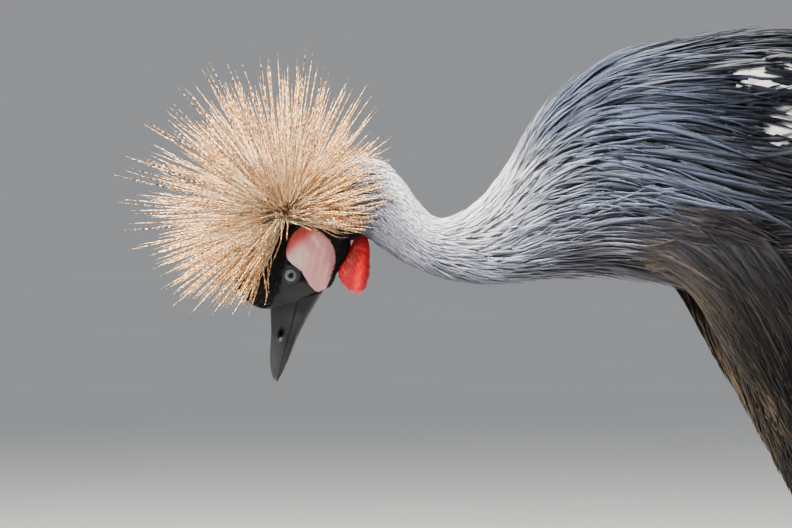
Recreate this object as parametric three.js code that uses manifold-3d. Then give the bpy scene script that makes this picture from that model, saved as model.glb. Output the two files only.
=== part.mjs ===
// Grey crowned crane, life size, standing with its neck lowered and its bill pointing at the ground.
// Units are millimetres, +Z is up, the bird faces -X, and its left side is at -Y.
import * as THREE from "three";
import { mergeVertices } from "three/addons/utils/BufferGeometryUtils.js";
import Module from "manifold-3d";

const wasm = await Module();
wasm.setup();

// Driving dimensions
const GAP = 0.3; // between neighbouring pieces
const LEFT = -1;
const RIGHT = 1;
const HEAD_PITCH = THREE.MathUtils.degToRad(-75); // from level to bill down
const EYE_LINE = new THREE.Vector3(-316.7, 0, 443); // midpoint between the eyes
const EYE_RADIUS = 7.2;
const EYE_OUT = 14.6; // eye centre from the mid plane
const MOUTH = -11; // height of the line of the mouth below the eyes
const CREST_LENGTH = 131;
const CREST_ROOT = { x: 44, z: 16 };
const CREST_CORE = 23;
const BRISTLES = 108;
const TAIL_LENGTH = 190; // what shows behind the rump
const WING_FRONT = 36; // x of the bend of the wing
const KNEE_OUT = 46; // legs from the mid plane

const COLOURS = {
  velvet: 0x0d0c0e,
  slate: 0x8a93a1,
  paleSlate: 0xc3c8cf,
  bill: 0x2b2a2c,
  cheek: 0xe3b9b1,
  wattle: 0xc41f1d,
  iris: 0xa9b4bf,
  straw: 0xd9a960,
  covert: 0xe8e6e0,
  tail: 0x1c1a1d,
  thigh: 0x4d4a4c,
  scale: 0x2e2c2d,
};

// Numbers along a line of stations
function along(values, u) {
  const i = Math.min(Math.max(Math.floor(u), 0), values.length - 2);
  const at = (k) => values[Math.min(Math.max(k, 0), values.length - 1)];
  const [a, b, c, d] = [at(i - 1), at(i), at(i + 1), at(i + 2)];
  const t = u - i;
  const linear = (c - a) * t;
  const square = (2 * a - 5 * b + 4 * c - d) * t * t;
  const cube = (3 * b - a - 3 * c + d) * t * t * t;
  return 0.5 * (2 * b + linear + square + cube);
}

const mix = (a, b, t) => a + (b - a) * t;
const degrees = THREE.MathUtils.degToRad;
const random = THREE.MathUtils.seededRandom;
const vary = (size, share) => size * (1 + share * (2 * random() - 1));
random(3);

// Closed meshes. A ring is a list of points; rings run from one end of a piece to the other.
function ringMesh(rings, thin = false) {
  const sides = rings[0].length;
  const points = rings.flat();
  const faces = [];
  for (let i = 0; i + 1 < rings.length; i++)
    for (let k = 0; k < sides; k++) {
      const a = i * sides + k;
      const b = i * sides + ((k + 1) % sides);
      const [c, d] = [b + sides, a + sides];
      // The under face of a thin vane is split along the same lines as its upper face.
      if (thin && k >= sides / 2) faces.push([a, b, d], [b, c, d]);
      else faces.push([a, b, c], [a, c, d]);
    }
  // Each end is closed by a strip between its two sides, so that a crescent stays a crescent.
  const last = (rings.length - 1) * sides;
  for (let low = 0, high = sides - 1; low + 1 < high; low++, high--) {
    faces.push([low, high, low + 1], [last + low, last + low + 1, last + high]);
    if (low + 2 < high) {
      faces.push([low + 1, high, high - 1], [last + low + 1, last + high - 1, last + high]);
    }
  }
  const geometry = new THREE.BufferGeometry();
  geometry.setFromPoints(points);
  geometry.setIndex(faces.flat());
  return geometry;
}

// Solids
function solidOf(geometry) {
  const bare = geometry.clone();
  bare.deleteAttribute("normal");
  bare.deleteAttribute("uv");
  const merged = mergeVertices(bare, 1e-4);
  const vertProperties = merged.attributes.position.array;
  const triVerts = new Uint32Array(merged.index.array);
  const made = new wasm.Manifold(
    new wasm.Mesh({ numProp: 3, vertProperties, triVerts }),
  );
  if (made.volume() > 0) return made;
  for (let i = 0; i < triVerts.length; i += 3)
    [triVerts[i + 1], triVerts[i + 2]] = [triVerts[i + 2], triVerts[i + 1]];
  return new wasm.Manifold(
    new wasm.Mesh({ numProp: 3, vertProperties, triVerts }),
  );
}

const join = (...solids) => wasm.Manifold.union(solids.flat());

// The largest closed surface of a solid: loose scraps and sealed hollows are left out.
function whole(solid) {
  return solid
    .decompose()
    .reduce((a, b) => (b.volume() > a.volume() ? b : a));
}

function moved(solid, matrix) {
  return solid.transform([...matrix.elements]);
}

function ball(x, y, z, rx, ry, rz, detail = 12) {
  const sphere = new THREE.SphereGeometry(1, detail, Math.ceil(detail * 0.6));
  sphere.rotateX(Math.PI / 2);
  sphere.scale(rx, ry, rz);
  sphere.translate(x, y, z);
  return solidOf(sphere);
}

// A form is a run of oval sections: x, z of the centre, half height, half width, and the lean
// of the axis above level in degrees. Angle 0 is the back, and 90 the left side.
class Form {
  constructor(stations, sides, y = 0) {
    this.columns = [0, 1, 2, 3, 4].map((c) => stations.map((row) => row[c]));
    this.sides = sides;
    this.y = y;
    this.end = stations.length - 1;
  }
  value(column, u) {
    return along(this.columns[column], u);
  }
  surface(u, angle, rise = 0) {
    const lean = degrees(this.value(4, u));
    const up = (this.value(2, u) + rise) * Math.cos(angle);
    const out = (this.value(3, u) + rise) * Math.sin(angle);
    return new THREE.Vector3(
      this.value(0, u) - Math.sin(lean) * up,
      this.y - out,
      this.value(1, u) + Math.cos(lean) * up,
    );
  }
  axisStep(u, length) {
    const [x, z] = [0, 1].map((c) => this.value(c, u + 0.05) - this.value(c, u - 0.05));
    return (0.1 * length) / Math.hypot(x, z);
  }
  // Stops along the surface, an even step apart, for a length that turns off the line of the axis
  path(u, angle, length, turn) {
    const steps = 8;
    const stops = [[u, angle]];
    for (let i = 0; i < steps; i++) {
      const back = this.surface(u + 0.05, angle).distanceTo(this.surface(u - 0.05, angle));
      const round = this.surface(u, angle + 0.05).distanceTo(this.surface(u, angle - 0.05));
      u += (0.1 * length * Math.cos(turn)) / steps / back;
      angle += (0.1 * length * Math.sin(turn)) / steps / round;
      stops.push([u, angle]);
    }
    return stops;
  }
  ring(u, rise = 0) {
    const ring = [];
    for (let k = 0; k < this.sides; k++)
      ring.push(this.surface(u, (2 * Math.PI * k) / this.sides, rise));
    return ring;
  }
  loft(from, to, steps, rise = 0) {
    const rings = [];
    for (let i = 0; i <= steps; i++) rings.push(this.ring(mix(from, to, i / steps), rise));
    return solidOf(ringMesh(rings));
  }
}

// A vane is a thin blade with a raised shaft. place(share, off, lift) is a point of it: a share of
// its length from the root, millimetres to the side of its shaft and millimetres above its underside.
const PLUME = [[0, 0.5], [0.4, 1], [0.76, 0.72], [1, 0.04]]; // share of the length, of the width
const QUILL = [[0, 0.5], [0.28, 0.9], [0.62, 1], [0.88, 0.78], [1, 0.12]];

function vane(place, width, thick, shape) {
  const rings = shape.map(([share, part]) => {
    const half = (width * part) / 2;
    const ridge = thick * Math.min(1, part + 0.3);
    return [place(share, -half, 0), place(share, 0, ridge), place(share, half, 0)];
  });
  return solidOf(ringMesh(rings, true));
}

// A vane that lies back along a form: its root is sunk in the form, and its tip stands clear of it.
function vaneOn(form, { u, angle, length, width, turn = 0, sink = 2.5, rise = 4.5, thick = 1.2, shape = PLUME }) {
  const stops = form.path(u, angle, length, turn);
  const place = (share, off, lift) => {
    const at = share * (stops.length - 1);
    const i = Math.min(Math.floor(at), stops.length - 2);
    const [here, round] = [0, 1].map((column) => mix(stops[i][column], stops[i + 1][column], at - i));
    const radian = form.surface(here, round + 0.05).distanceTo(form.surface(here, round - 0.05)) * 10;
    return form.surface(here, round + off / radian, mix(-sink, rise, share) + lift);
  };
  return vane(place, width, thick, shape);
}

// Body and neck, from the back of the head to the rump
const BODY = new Form(
  [
    [-292.5, 486.0, 25.7, 21.0, 38],
    [-271.5, 501.0, 30.5, 22.5, 17],
    [-251.5, 501.5, 30.5, 22.5, -8],
    [-238.0, 490.0, 27.2, 22.0, -18],
    [-226.0, 477.5, 23.4, 21.0, -21],
    [-210.0, 466.5, 21.2, 20.5, -17],
    [-190.5, 463.7, 25.2, 23.0, -5],
    [-165.5, 468.4, 33.5, 30.0, 6],
    [-144.5, 480.9, 44.0, 39.5, 7],
    [-124.5, 498.8, 59.0, 51.0, 5],
    [-103.0, 513.2, 71.0, 62.0, 3],
    [-68.0, 527.3, 83.0, 74.5, 1],
    [-29.0, 530.0, 91.5, 83.5, 0],
    [18.0, 528.8, 100.0, 89.0, 0],
    [65.0, 527.7, 102.5, 90.0, 0],
    [119.0, 526.5, 98.0, 84.0, -1],
    [174.0, 525.3, 87.0, 72.0, -3],
    [228.5, 522.5, 69.0, 54.0, -5],
    [275.0, 519.0, 50.0, 36.0, -7],
    [314.0, 514.0, 34.0, 24.0, -12],
  ],
  20,
);
const NECK_MIDDLE = 4.4;
const NECK_BASE = 7.4;
const RUMP = 18.2;
const afterGap = (form, u) => u + form.axisStep(u, GAP);

// The same sections serve a node and, a little larger, whatever is cut clear of it.
const neckUpper = (rise = 0) => BODY.loft(0, NECK_MIDDLE, 9, rise);
const neckLower = (rise = 0) => BODY.loft(afterGap(BODY, NECK_MIDDLE), NECK_BASE, 7, rise);
const trunk = (rise = 0) => BODY.loft(afterGap(BODY, NECK_BASE), RUMP, 20, rise);

// Skin of the folded wings, from the bend of the wing to the wing tip
const MANTLE = new Form(
  [
    [2.3, 529.6, 104.0, 92.5, 0],
    [64.7, 528.0, 106.0, 95.0, 0],
    [127.0, 525.7, 102.5, 92.0, -2],
    [189.5, 521.0, 93.0, 82.0, -5],
    [252.0, 513.2, 77.0, 67.0, -9],
    [314.3, 500.8, 58.0, 52.0, -14],
    [376.7, 482.0, 42.0, 39.0, -19],
    [439.0, 457.0, 27.0, 28.0, -24],
    [462.5, 446.0, 20.0, 22.0, -26],
  ],
  20,
);
const WING_TOP = [44, 36, 30, 25, 21, 18, 17, 20, 26];
const WING_BOTTOM = [76, 86, 101, 112, 118, 121, 122, 112, 100];

function wingSlab(side, from, to, steps, outer, inner, beyond = 0) {
  const arc = 6;
  const rings = [];
  for (let i = 0; i <= steps; i++) {
    const u = mix(from, to, i / steps);
    const top = degrees(along(WING_TOP, u) - beyond);
    const bottom = degrees(along(WING_BOTTOM, u) + beyond);
    const outside = [];
    const inside = [];
    for (let k = 0; k <= arc; k++) {
      const across = k / arc;
      const angle = -side * mix(top, bottom, across);
      const crown = Math.sqrt(Math.sin(Math.PI * mix(0.04, 0.96, across)));
      outside.push(MANTLE.surface(u, angle, outer * crown * Math.min(1, 0.3 + u - from)));
      inside.unshift(MANTLE.surface(u, angle, inner));
    }
    rings.push([...outside, ...inside]);
  }
  return solidOf(ringMesh(rings));
}

// Plumes of the torso. Each tier is the x of its roots, then the length and width of its plumes.
const BREAST_TIERS = [
  [-151, 68, 22],
  [-122, 84, 27],
  [-88, 96, 32],
  [-50, 98, 35],
  [-12, 98, 35],
];
const BACK_TIERS = [32, 80, 128].map((x) => [x, 98, 30]);
const BELLY_TIERS = [30, 86, 142, 196].map((x) => [x, 106, 38]);

// Station of the body at an x behind the neck
function bodyAt(x) {
  let [low, high] = [6, BODY.end];
  for (let i = 0; i < 24; i++) {
    const u = (low + high) / 2;
    if (BODY.value(0, u) < x) low = u;
    else high = u;
  }
  return low;
}

// The flank is under the wing behind WING_FRONT.
const onFlank = (angle) => Math.abs(Math.cos(angle)) < 0.9;

function underThigh(point) {
  const out = Math.abs(point.y) - KNEE_OUT;
  return point.z < 475 && Math.hypot(point.x - 46, out) < 52;
}

function plumeTier([x, length, width], first, last) {
  const u = bodyAt(x);
  const plumes = [];
  const girth = Math.PI * (BODY.value(2, u) + BODY.value(3, u)) * ((last - first) / 360);
  const count = Math.floor(girth / (width * 1.04));
  const shift = plumeTier.turn++ % 2 ? 0.25 : 0.75;
  for (let i = 0; i < count; i++) {
    const angle = degrees(mix(first, last, (i + shift) / count));
    const room = onFlank(angle) ? Math.min(length, WING_FRONT - 7 - x) : length;
    const reach = vary(room, 0.06);
    const plume = { u, angle, length: reach, width, turn: 0.12 * Math.sin(angle) };
    const stops = BODY.path(u, angle, reach, plume.turn);
    const hidden = stops.some(([at, round]) => underThigh(BODY.surface(at, round)));
    if (reach > 45 && !hidden) plumes.push(vaneOn(BODY, plume));
  }
  return plumes;
}
plumeTier.turn = 0;

// Plumes that would reach into the room of a wing with all its feathers are left out.
function torso() {
  const wingRoom = join([LEFT, RIGHT].map((side) => wingSlab(side, 0.5, 7.6, 12, 12, -9, 13)));
  const plumes = [
    ...BREAST_TIERS.flatMap((tier) => plumeTier(tier, 0, 360)),
    ...BACK_TIERS.flatMap((tier) => plumeTier(tier, -22, 22)),
    ...BELLY_TIERS.flatMap((tier) => plumeTier(tier, 132, 228)),
  ];
  const clear = plumes.filter((plume) => plume.intersect(wingRoom).isEmpty());
  return whole(join(trunk(), ...clear));
}

// Tail: a closed fan below the wing tips. Each row is a share of the length, then a section.
const TAIL_DROOP = degrees(17);
const TAIL_ROWS = [
  [0.1, 36, 27],
  [0.3, 15, 22],
  [0.55, 9.5, 22],
  [0.85, 9.5, 20],
  [1, 9.5, 18],
];

function tailForm() {
  const root = [0, 1, 2, 3, 4].map((column) => BODY.value(column, RUMP));
  const rows = TAIL_ROWS.map(([share, tall, wide]) => [
    root[0] + TAIL_LENGTH * share * Math.cos(TAIL_DROOP),
    root[1] - TAIL_LENGTH * share * Math.sin(TAIL_DROOP) - 6,
    tall,
    wide,
    -17,
  ]);
  return new Form([root, ...rows], 16);
}
const TAIL = tailForm();

// The middle pair of tail feathers lies on top, and each pair outwards lies below the last.
function tail() {
  const feathers = [];
  for (const place of [-4, -3, -2, -1, 0, 1, 2, 3, 4]) {
    const out = Math.abs(place);
    const start = new THREE.Vector3(TAIL.value(0, 0.9), 2.5 * place, TAIL.value(1, 0.9) + 6 - 2.2 * out);
    const length = vary(TAIL_LENGTH * 0.9, 0.02);
    const blade = (share, off, lift) => {
      const far = share * length;
      const drop = TAIL_DROOP + degrees(1.6 * share);
      return new THREE.Vector3(
        start.x + far * Math.cos(drop),
        start.y + off,
        start.z - far * Math.sin(drop) + lift - 0.012 * off * off,
      );
    };
    feathers.push(vane(blade, 15, 1.3, QUILL));
  }
  const core = TAIL.loft(afterGap(TAIL, 0), 2.6, 6);
  return whole(join(core, ...feathers));
}


const behindWing = join(trunk(GAP), TAIL.loft(0, TAIL.end + 0.02, 9, GAP));

// Feathers of one wing. Each row is the station of its roots, the first and last feather across
// the wing from its upper edge (0) to its lower edge (1), their number, and their size.
const WING_CORE_END = 5.1;
const WING_ROWS = [
  { u: 0.62, span: [0.08, 0.92], count: 5, length: 94, width: 30 },
  { u: 1.45, span: [0.05, 0.95], count: 5, length: 104, width: 32 },
  { u: 2.3, span: [0.04, 0.96], count: 6, length: 114, width: 26 },
  { u: 2.75, span: [0.1, 0.6], count: 6, length: 138, width: 10, rise: 9.5, turn: 0.3 },
  { u: 3.1, span: [0, 0.98], count: 7, length: 230, width: 32, rise: 3.5, shape: QUILL },
  { u: 3.9, span: [0.62, 1.0], count: 4, length: 226, width: 22, sink: 5, rise: -2.5, shape: QUILL },
];

function wing(side) {
  const feathers = WING_ROWS.flatMap(({ u, span, count, turn = 0, length, ...size }) => {
    const row = [];
    for (let i = 0; i < count; i++) {
      const across = mix(span[0], span[1], i / (count - 1));
      const at = u + 0.25 * (i % 2);
      const [top, bottom] = [WING_TOP, WING_BOTTOM].map((edge) => along(edge, at));
      const angle = -side * degrees(mix(top, bottom, across));
      const reach = vary(length, 0.05);
      const fall = -side * turn;
      row.push(vaneOn(MANTLE, { u: at, angle, length: reach, turn: fall, thick: 1.3, ...size }));
    }
    return row;
  });
  return whole(join(wingSlab(side, 0.55, WING_CORE_END, 9, 4, -8), ...feathers).subtract(behindWing));
}

// Head, in its own frame: the bill points along -X, the eyes are at the origin's height
const headPlace = new THREE.Matrix4()
  .makeRotationY(HEAD_PITCH)
  .setPosition(EYE_LINE);
const toHead = headPlace.clone().invert();

// The last section is the first of the neck, seen in the head's frame.
function junction() {
  const centre = new THREE.Vector3(BODY.value(0, 0), 0, BODY.value(1, 0)).applyMatrix4(toHead);
  const lean = BODY.value(4, 0) + THREE.MathUtils.radToDeg(HEAD_PITCH);
  return [centre.x, centre.z, BODY.value(2, 0), BODY.value(3, 0), lean];
}

const HEAD = new Form(
  [
    [-19.2, -9.5, 21.0, 11.5, 32],
    [-5.0, -3.0, 27.0, 18.5, 14],
    [15.0, -2.0, 29.5, 22.0, 0],
    [32.0, -4.5, 29.0, 22.5, -18],
    junction(),
  ],
  20,
);

// A cut with the skull runs on to the neck, so that no film is left between the two.
const SKULL_END = HEAD.end - HEAD.axisStep(HEAD.end - 0.1, GAP);

function skull(rise = 0, end = HEAD.end) {
  return join(HEAD.loft(0, end, 9, rise), forecrown(rise));
}

function forecrown(rise = 0) {
  return ball(2, 0, 16, 34.5 + rise, 19.5 + rise, 29.3 + rise, 15);
}

function lidRing(side) {
  const ring = new THREE.TorusGeometry(6.4, 1.7, 6, 16);
  ring.rotateX(Math.PI / 2);
  ring.scale(1, 1, 0.92);
  ring.translate(0, side * (EYE_OUT + 4.6), 0);
  return solidOf(ring);
}

function head() {
  let solid = join(skull(0, SKULL_END), lidRing(LEFT), lidRing(RIGHT));
  for (const side of [LEFT, RIGHT]) {
    const socket = EYE_RADIUS + GAP;
    solid = solid.subtract(ball(0, side * EYE_OUT, 0, socket, socket, socket, 14));
  }
  return whole(solid.subtract(mandible(BILL_UPPER, MOUTH, 2 * GAP)));
}

function eye(side) {
  return ball(0, side * EYE_OUT, 0, EYE_RADIUS, EYE_RADIUS, EYE_RADIUS, 13);
}

// Bare cheek: a kidney-shaped plate a millimetre proud of the skull
function cheek(side) {
  const outline = new THREE.Shape();
  outline.moveTo(3.5, -8.5);
  outline.bezierCurveTo(9, -1, 8, 9, 20, 9);
  outline.bezierCurveTo(33, 9, 44, 2, 41, -9);
  outline.bezierCurveTo(38, -22, 27, -33, 12, -32);
  outline.bezierCurveTo(0, -31.5, -9, -30, -8.5, -25);
  outline.bezierCurveTo(-8, -19, -2, -14, 3.5, -8.5);
  const plate = new THREE.ExtrudeGeometry(outline, {
    depth: 30,
    bevelEnabled: false,
    curveSegments: 3,
  });
  plate.rotateX(Math.PI / 2);
  plate.translate(0, side > 0 ? 36 : -6, 0);
  return whole(solidOf(plate).intersect(skull(1.3)).subtract(skull(GAP)));
}

// Bill
const BILL_UPPER = [
  // x along the mouth, x and z of the ridge, half width
  [-17.9, -30.4, 8.6, 11.0],
  [-31.0, -40.5, 5.4, 8.4],
  [-44.0, -50.5, 2.6, 6.5],
  [-60.0, -65.0, -0.4, 4.7],
  [-73.0, -75.5, -3.8, 3.2],
  [-82.0, -83.4, -8.0, 1.7],
  [-86.6, -86.8, -10.4, 0.5],
];
const BILL_LOWER = [
  [-17.9, -8.0, -27.6, 11.0],
  [-32.0, -25.8, -22.4, 8.3],
  [-47.0, -46.5, -17.8, 6.0],
  [-65.0, -66.0, -15.3, 4.1],
  [-78.0, -78.6, -13.0, 2.4],
  [-83.6, -83.8, -11.6, 0.8],
];

function mandible(stations, mouth, rise = 0) {
  const arc = 8;
  const rings = stations.map(([x, edgeX, edgeZ, half]) => {
    const ring = [];
    for (let k = 0; k <= arc; k++) {
      const angle = (Math.PI * k) / arc;
      const up = Math.sin(angle) ** 0.85;
      const out = (half + rise) * Math.cos(angle);
      ring.push(new THREE.Vector3(mix(x, edgeX, up), out, mix(mouth, edgeZ + rise, up)));
    }
    return ring;
  });
  return solidOf(ringMesh(rings));
}

function billUpper() {
  let solid = mandible(BILL_UPPER, MOUTH + GAP / 2).translate([-GAP, 0, 0]);
  for (const side of [LEFT, RIGHT])
    solid = solid.subtract(ball(-46, side * 6.6, -4.6, 5.2, 2.4, 1.8, 10));
  return whole(solid);
}

function billLower() {
  return mandible(BILL_LOWER, MOUTH - GAP / 2).translate([-GAP, 0, 0]);
}

// Crest: stiff bristles that spread from the back of the crown, bent clear of the head and neck
const CREST_LEAN = degrees(43); // middle of the spread, from the back of the head towards its crown
const CREST_SPREAD = { ahead: degrees(132), side: degrees(94) };
const BRISTLE = [[0, 1.4], [0.5, 1.1], [1, 0.25]]; // share of the length, radius

function crestCore(rise = 0) {
  const r = CREST_CORE + rise;
  return ball(CREST_ROOT.x, 0, CREST_ROOT.z, r, r * 0.72, r * 0.8, 14);
}

// How far a bristle reaches: shorter over the forehead, and shortest over the neck
function bristleReach(away, ahead) {
  const low = ahead > 0 ? 76 : 46;
  const t = THREE.MathUtils.smoothstep(away, degrees(62), degrees(132));
  return mix(CREST_LENGTH, low, t);
}

function bristle(direction, reach) {
  const root = new THREE.Vector3(CREST_ROOT.x, 0, CREST_ROOT.z);
  const side = new THREE.Vector3(0, 1, 0).cross(direction).normalize();
  const other = direction.clone().cross(side);
  const rings = BRISTLE.map(([share, radius]) => {
    const point = root.clone().addScaledVector(direction, mix(9, reach, share));
    if (share > 0.3) {
      outOf(HEAD, point, 3);
      point.applyMatrix4(headPlace);
      outOf(BODY, point, 3);
      point.applyMatrix4(toHead);
    }
    return [90, 210, 330].map((turn) =>
      point
        .clone()
        .addScaledVector(side, radius * Math.cos(degrees(turn)))
        .addScaledVector(other, radius * Math.sin(degrees(turn))),
    );
  });
  return solidOf(ringMesh(rings));
}

// Moves a point outwards until it clears a form's nearest section.
function outOf(form, point, clear) {
  let u = 0;
  let least = Infinity;
  for (let at = 0; at <= Math.min(form.end, NECK_BASE); at += 0.1) {
    const far = Math.hypot(point.x - form.value(0, at), point.z - form.value(1, at));
    if (far < least) [u, least] = [at, far];
  }
  const centre = new THREE.Vector3(form.value(0, u), 0, form.value(1, u));
  const off = point.clone().sub(centre);
  const share = Math.hypot(
    Math.hypot(off.x, off.z) / (form.value(2, u) + clear),
    off.y / (form.value(3, u) + clear),
  );
  if (share < 1) point.copy(centre).addScaledVector(off, 1 / share);
}

function crest(neckNearHead) {
  const middle = new THREE.Vector3(Math.cos(CREST_LEAN), 0, Math.sin(CREST_LEAN));
  const ahead = new THREE.Vector3(-middle.z, 0, middle.x);
  const bristles = [];
  for (let i = 0; i < BRISTLES; i++) {
    const around = i * Math.PI * (3 - Math.sqrt(5));
    const [a, y] = [Math.cos(around), Math.sin(around)];
    const spread = mix(CREST_SPREAD.side, CREST_SPREAD.ahead, a * a);
    const away = spread * Math.sqrt((i + 0.4) / BRISTLES);
    const direction = middle.clone().multiplyScalar(Math.cos(away));
    direction.addScaledVector(ahead, a * Math.sin(away));
    direction.y += y * Math.sin(away);
    bristles.push(bristle(direction, vary(bristleReach(away, a), 0.04)));
  }
  return whole(join(crestCore(), ...bristles).subtract(skull(GAP)).subtract(neckNearHead));
}

// Wattle: two bulbs that hang from the throat with a fold between them
function wattle(neckNearHead) {
  const lobes = [LEFT, RIGHT].flatMap((side) => [
    ball(-262, side * 4.2, 453, 10, 7.5, 23, 10),
    ball(-267, side * 4.6, 441, 12.5, 8, 14.5, 10),
  ]);
  const hung = moved(join(lobes), toHead);
  return whole(hung.subtract(skull(GAP)).subtract(neckNearHead));
}

// Legs
const LEG = {
  [LEFT]: { knee: [47, 434], hock: [137, 205], foot: [112, 13] },
  [RIGHT]: { knee: [38, 436], hock: [108, 204], foot: [60, 13] },
};

function legForm(side) {
  const { knee, hock, foot } = LEG[side];
  const at = (a, b, t) => [mix(a[0], b[0], t), mix(a[1], b[1], t)];
  const upper = -69;
  const shank = THREE.MathUtils.radToDeg(Math.atan2(foot[1] - hock[1], foot[0] - hock[0]));
  return new Form(
    [
      [...at(knee, hock, -0.12), 44, 26, upper],
      [...at(knee, hock, 0.1), 41, 25, upper],
      [...at(knee, hock, 0.35), 27, 19, upper],
      [...at(knee, hock, 0.6), 14.5, 12, upper],
      [...at(knee, hock, 0.74), 9, 8, upper],
      [...at(knee, hock, 0.88), 7.5, 7, upper],
      [...at(knee, hock, 0.97), 11, 9.5, -80],
      [...at(hock, foot, 0.03), 10.5, 9, -95],
      [...at(hock, foot, 0.14), 6.8, 6, shank],
      [...at(hock, foot, 0.5), 5.8, 5, shank],
      [...at(hock, foot, 0.86), 6.2, 5.4, shank],
      [...at(hock, foot, 0.95), 8, 7, shank],
      [...at(hock, foot, 1), 8.5, 8, shank],
    ],
    12,
    side * KNEE_OUT,
  );
}
const FEATHER_END = 4;
const TARSUS_END = 10.4;

function thigh(side) {
  const form = legForm(side);
  return whole(form.loft(0, FEATHER_END, 8).subtract(behindWing));
}

function tarsus(side) {
  const form = legForm(side);
  return form.loft(afterGap(form, FEATHER_END), TARSUS_END, 11);
}

// Toes lie on the floor: every ring is cut flat at the height of the floor.
const TOES = [
  // name, direction from straight ahead in degrees, length without the claw
  ["inner", -32, 60],
  ["middle", 0, 82],
  ["outer", 33, 66],
  ["hind", 168, 27],
];
const CLAW = 13;

function toePoint(side, turn, distance) {
  const angle = degrees(turn) * side;
  const [x] = LEG[side].foot;
  return [x - Math.cos(angle) * distance, side * KNEE_OUT + Math.sin(angle) * distance, angle];
}

function floorTube(side, turn, rows) {
  const sides = 7;
  const rings = rows.map(([distance, height, thick]) => {
    const [x, y, angle] = toePoint(side, turn, distance);
    const ring = [];
    for (let k = 0; k < sides; k++) {
      const round = (2 * Math.PI * k) / sides + Math.PI / 2;
      const out = thick * Math.cos(round);
      const z = Math.max(height + thick * 1.08 * Math.sin(round), 0);
      ring.push(new THREE.Vector3(x + Math.sin(angle) * out, y + Math.cos(angle) * out, z));
    }
    return ring;
  });
  return solidOf(ringMesh(rings));
}

function toe(side, turn, length) {
  const rows = [
    [0, 5.4, 5.6],
    [length * 0.22, 4.2, 4.6],
    [length * 0.36, 4.6, 5.2],
    [length * 0.52, 3.8, 4.2],
    [length * 0.68, 4.2, 4.7],
    [length * 0.84, 3.4, 3.8],
    [length, 3.0, 3.4],
  ];
  return floorTube(side, turn, rows);
}

function claw(side, turn, length) {
  const start = length + GAP;
  const rows = [
    [start, 2.8, 2.9],
    [start + CLAW * 0.5, 2.2, 2.3],
    [start + CLAW, 0.4, 0.5],
  ];
  return floorTube(side, turn, rows);
}

function foot(side) {
  const form = legForm(side);
  const stub = form.loft(afterGap(form, TARSUS_END), form.end, 3);
  const pad = floorTube(side, 0, [[-9, 5, 6.5], [0, 6.5, 8.5], [9, 5, 7]]);
  return whole(join(stub, pad, ...TOES.map(([, turn, length]) => toe(side, turn, length))));
}

// Meshes
const materials = Object.fromEntries(
  Object.entries(COLOURS).map(([name, color]) => [
    name,
    new THREE.MeshStandardMaterial({ color, roughness: 0.75, metalness: 0 }),
  ]),
);

function meshOf(name, solid, material) {
  const { vertProperties, triVerts } = solid.getMesh();
  const geometry = new THREE.BufferGeometry();
  geometry.setAttribute("position", new THREE.BufferAttribute(vertProperties, 3));
  geometry.setIndex(new THREE.BufferAttribute(triVerts, 1));
  geometry.computeVertexNormals();
  const mesh = new THREE.Mesh(geometry, materials[material]);
  mesh.name = name;
  return mesh;
}

const bird = new THREE.Group();
bird.name = "grey_crowned_crane";

bird.add(
  meshOf("neck_upper", neckUpper(), "paleSlate"),
  meshOf("neck_lower", neckLower(), "paleSlate"),
  meshOf("torso", torso(), "slate"),
  meshOf("tail", tail(), "tail"),
);

const headGroup = new THREE.Group();
headGroup.rotation.y = HEAD_PITCH;
headGroup.position.copy(EYE_LINE);
const neckNearHead = moved(join(neckUpper(GAP), neckLower(GAP)), toHead);
headGroup.add(
  meshOf("head", head(), "velvet"),
  meshOf("bill_upper", billUpper(), "bill"),
  meshOf("bill_lower", billLower(), "bill"),
  meshOf("crest", crest(neckNearHead), "straw"),
  meshOf("wattle", wattle(neckNearHead), "wattle"),
);
bird.add(headGroup);

for (const [side, word] of [[LEFT, "left"], [RIGHT, "right"]]) {
  headGroup.add(
    meshOf(`eye_${word}`, eye(side), "iris"),
    meshOf(`cheek_${word}`, cheek(side), "cheek"),
  );
  bird.add(
    meshOf(`wing_${word}`, wing(side), "covert"),
    meshOf(`thigh_${word}`, thigh(side), "thigh"),
    meshOf(`tarsus_${word}`, tarsus(side), "scale"),
    meshOf(`foot_${word}`, foot(side), "scale"),
  );
  for (const [name, turn, length] of TOES)
    bird.add(meshOf(`claw_${word}_${name}`, claw(side, turn, length), "bill"));
}

// The floor is at zero, and the middle of the bird's box is over the origin.
const box = new THREE.Box3().setFromObject(bird, true);
const middle = box.getCenter(new THREE.Vector3());
bird.position.set(-middle.x, -middle.y, -box.min.z);

export default bird;
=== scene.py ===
# Grey crowned crane: skin, feathers, crest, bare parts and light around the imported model.
# Lengths are millimetres in the bird's own frame, where its middle is at y = 0, until place() turns
# them into metres in the row's frame.
import math

import bpy
import numpy as np
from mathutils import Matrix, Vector
from mathutils.bvhtree import BVHTree


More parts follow.
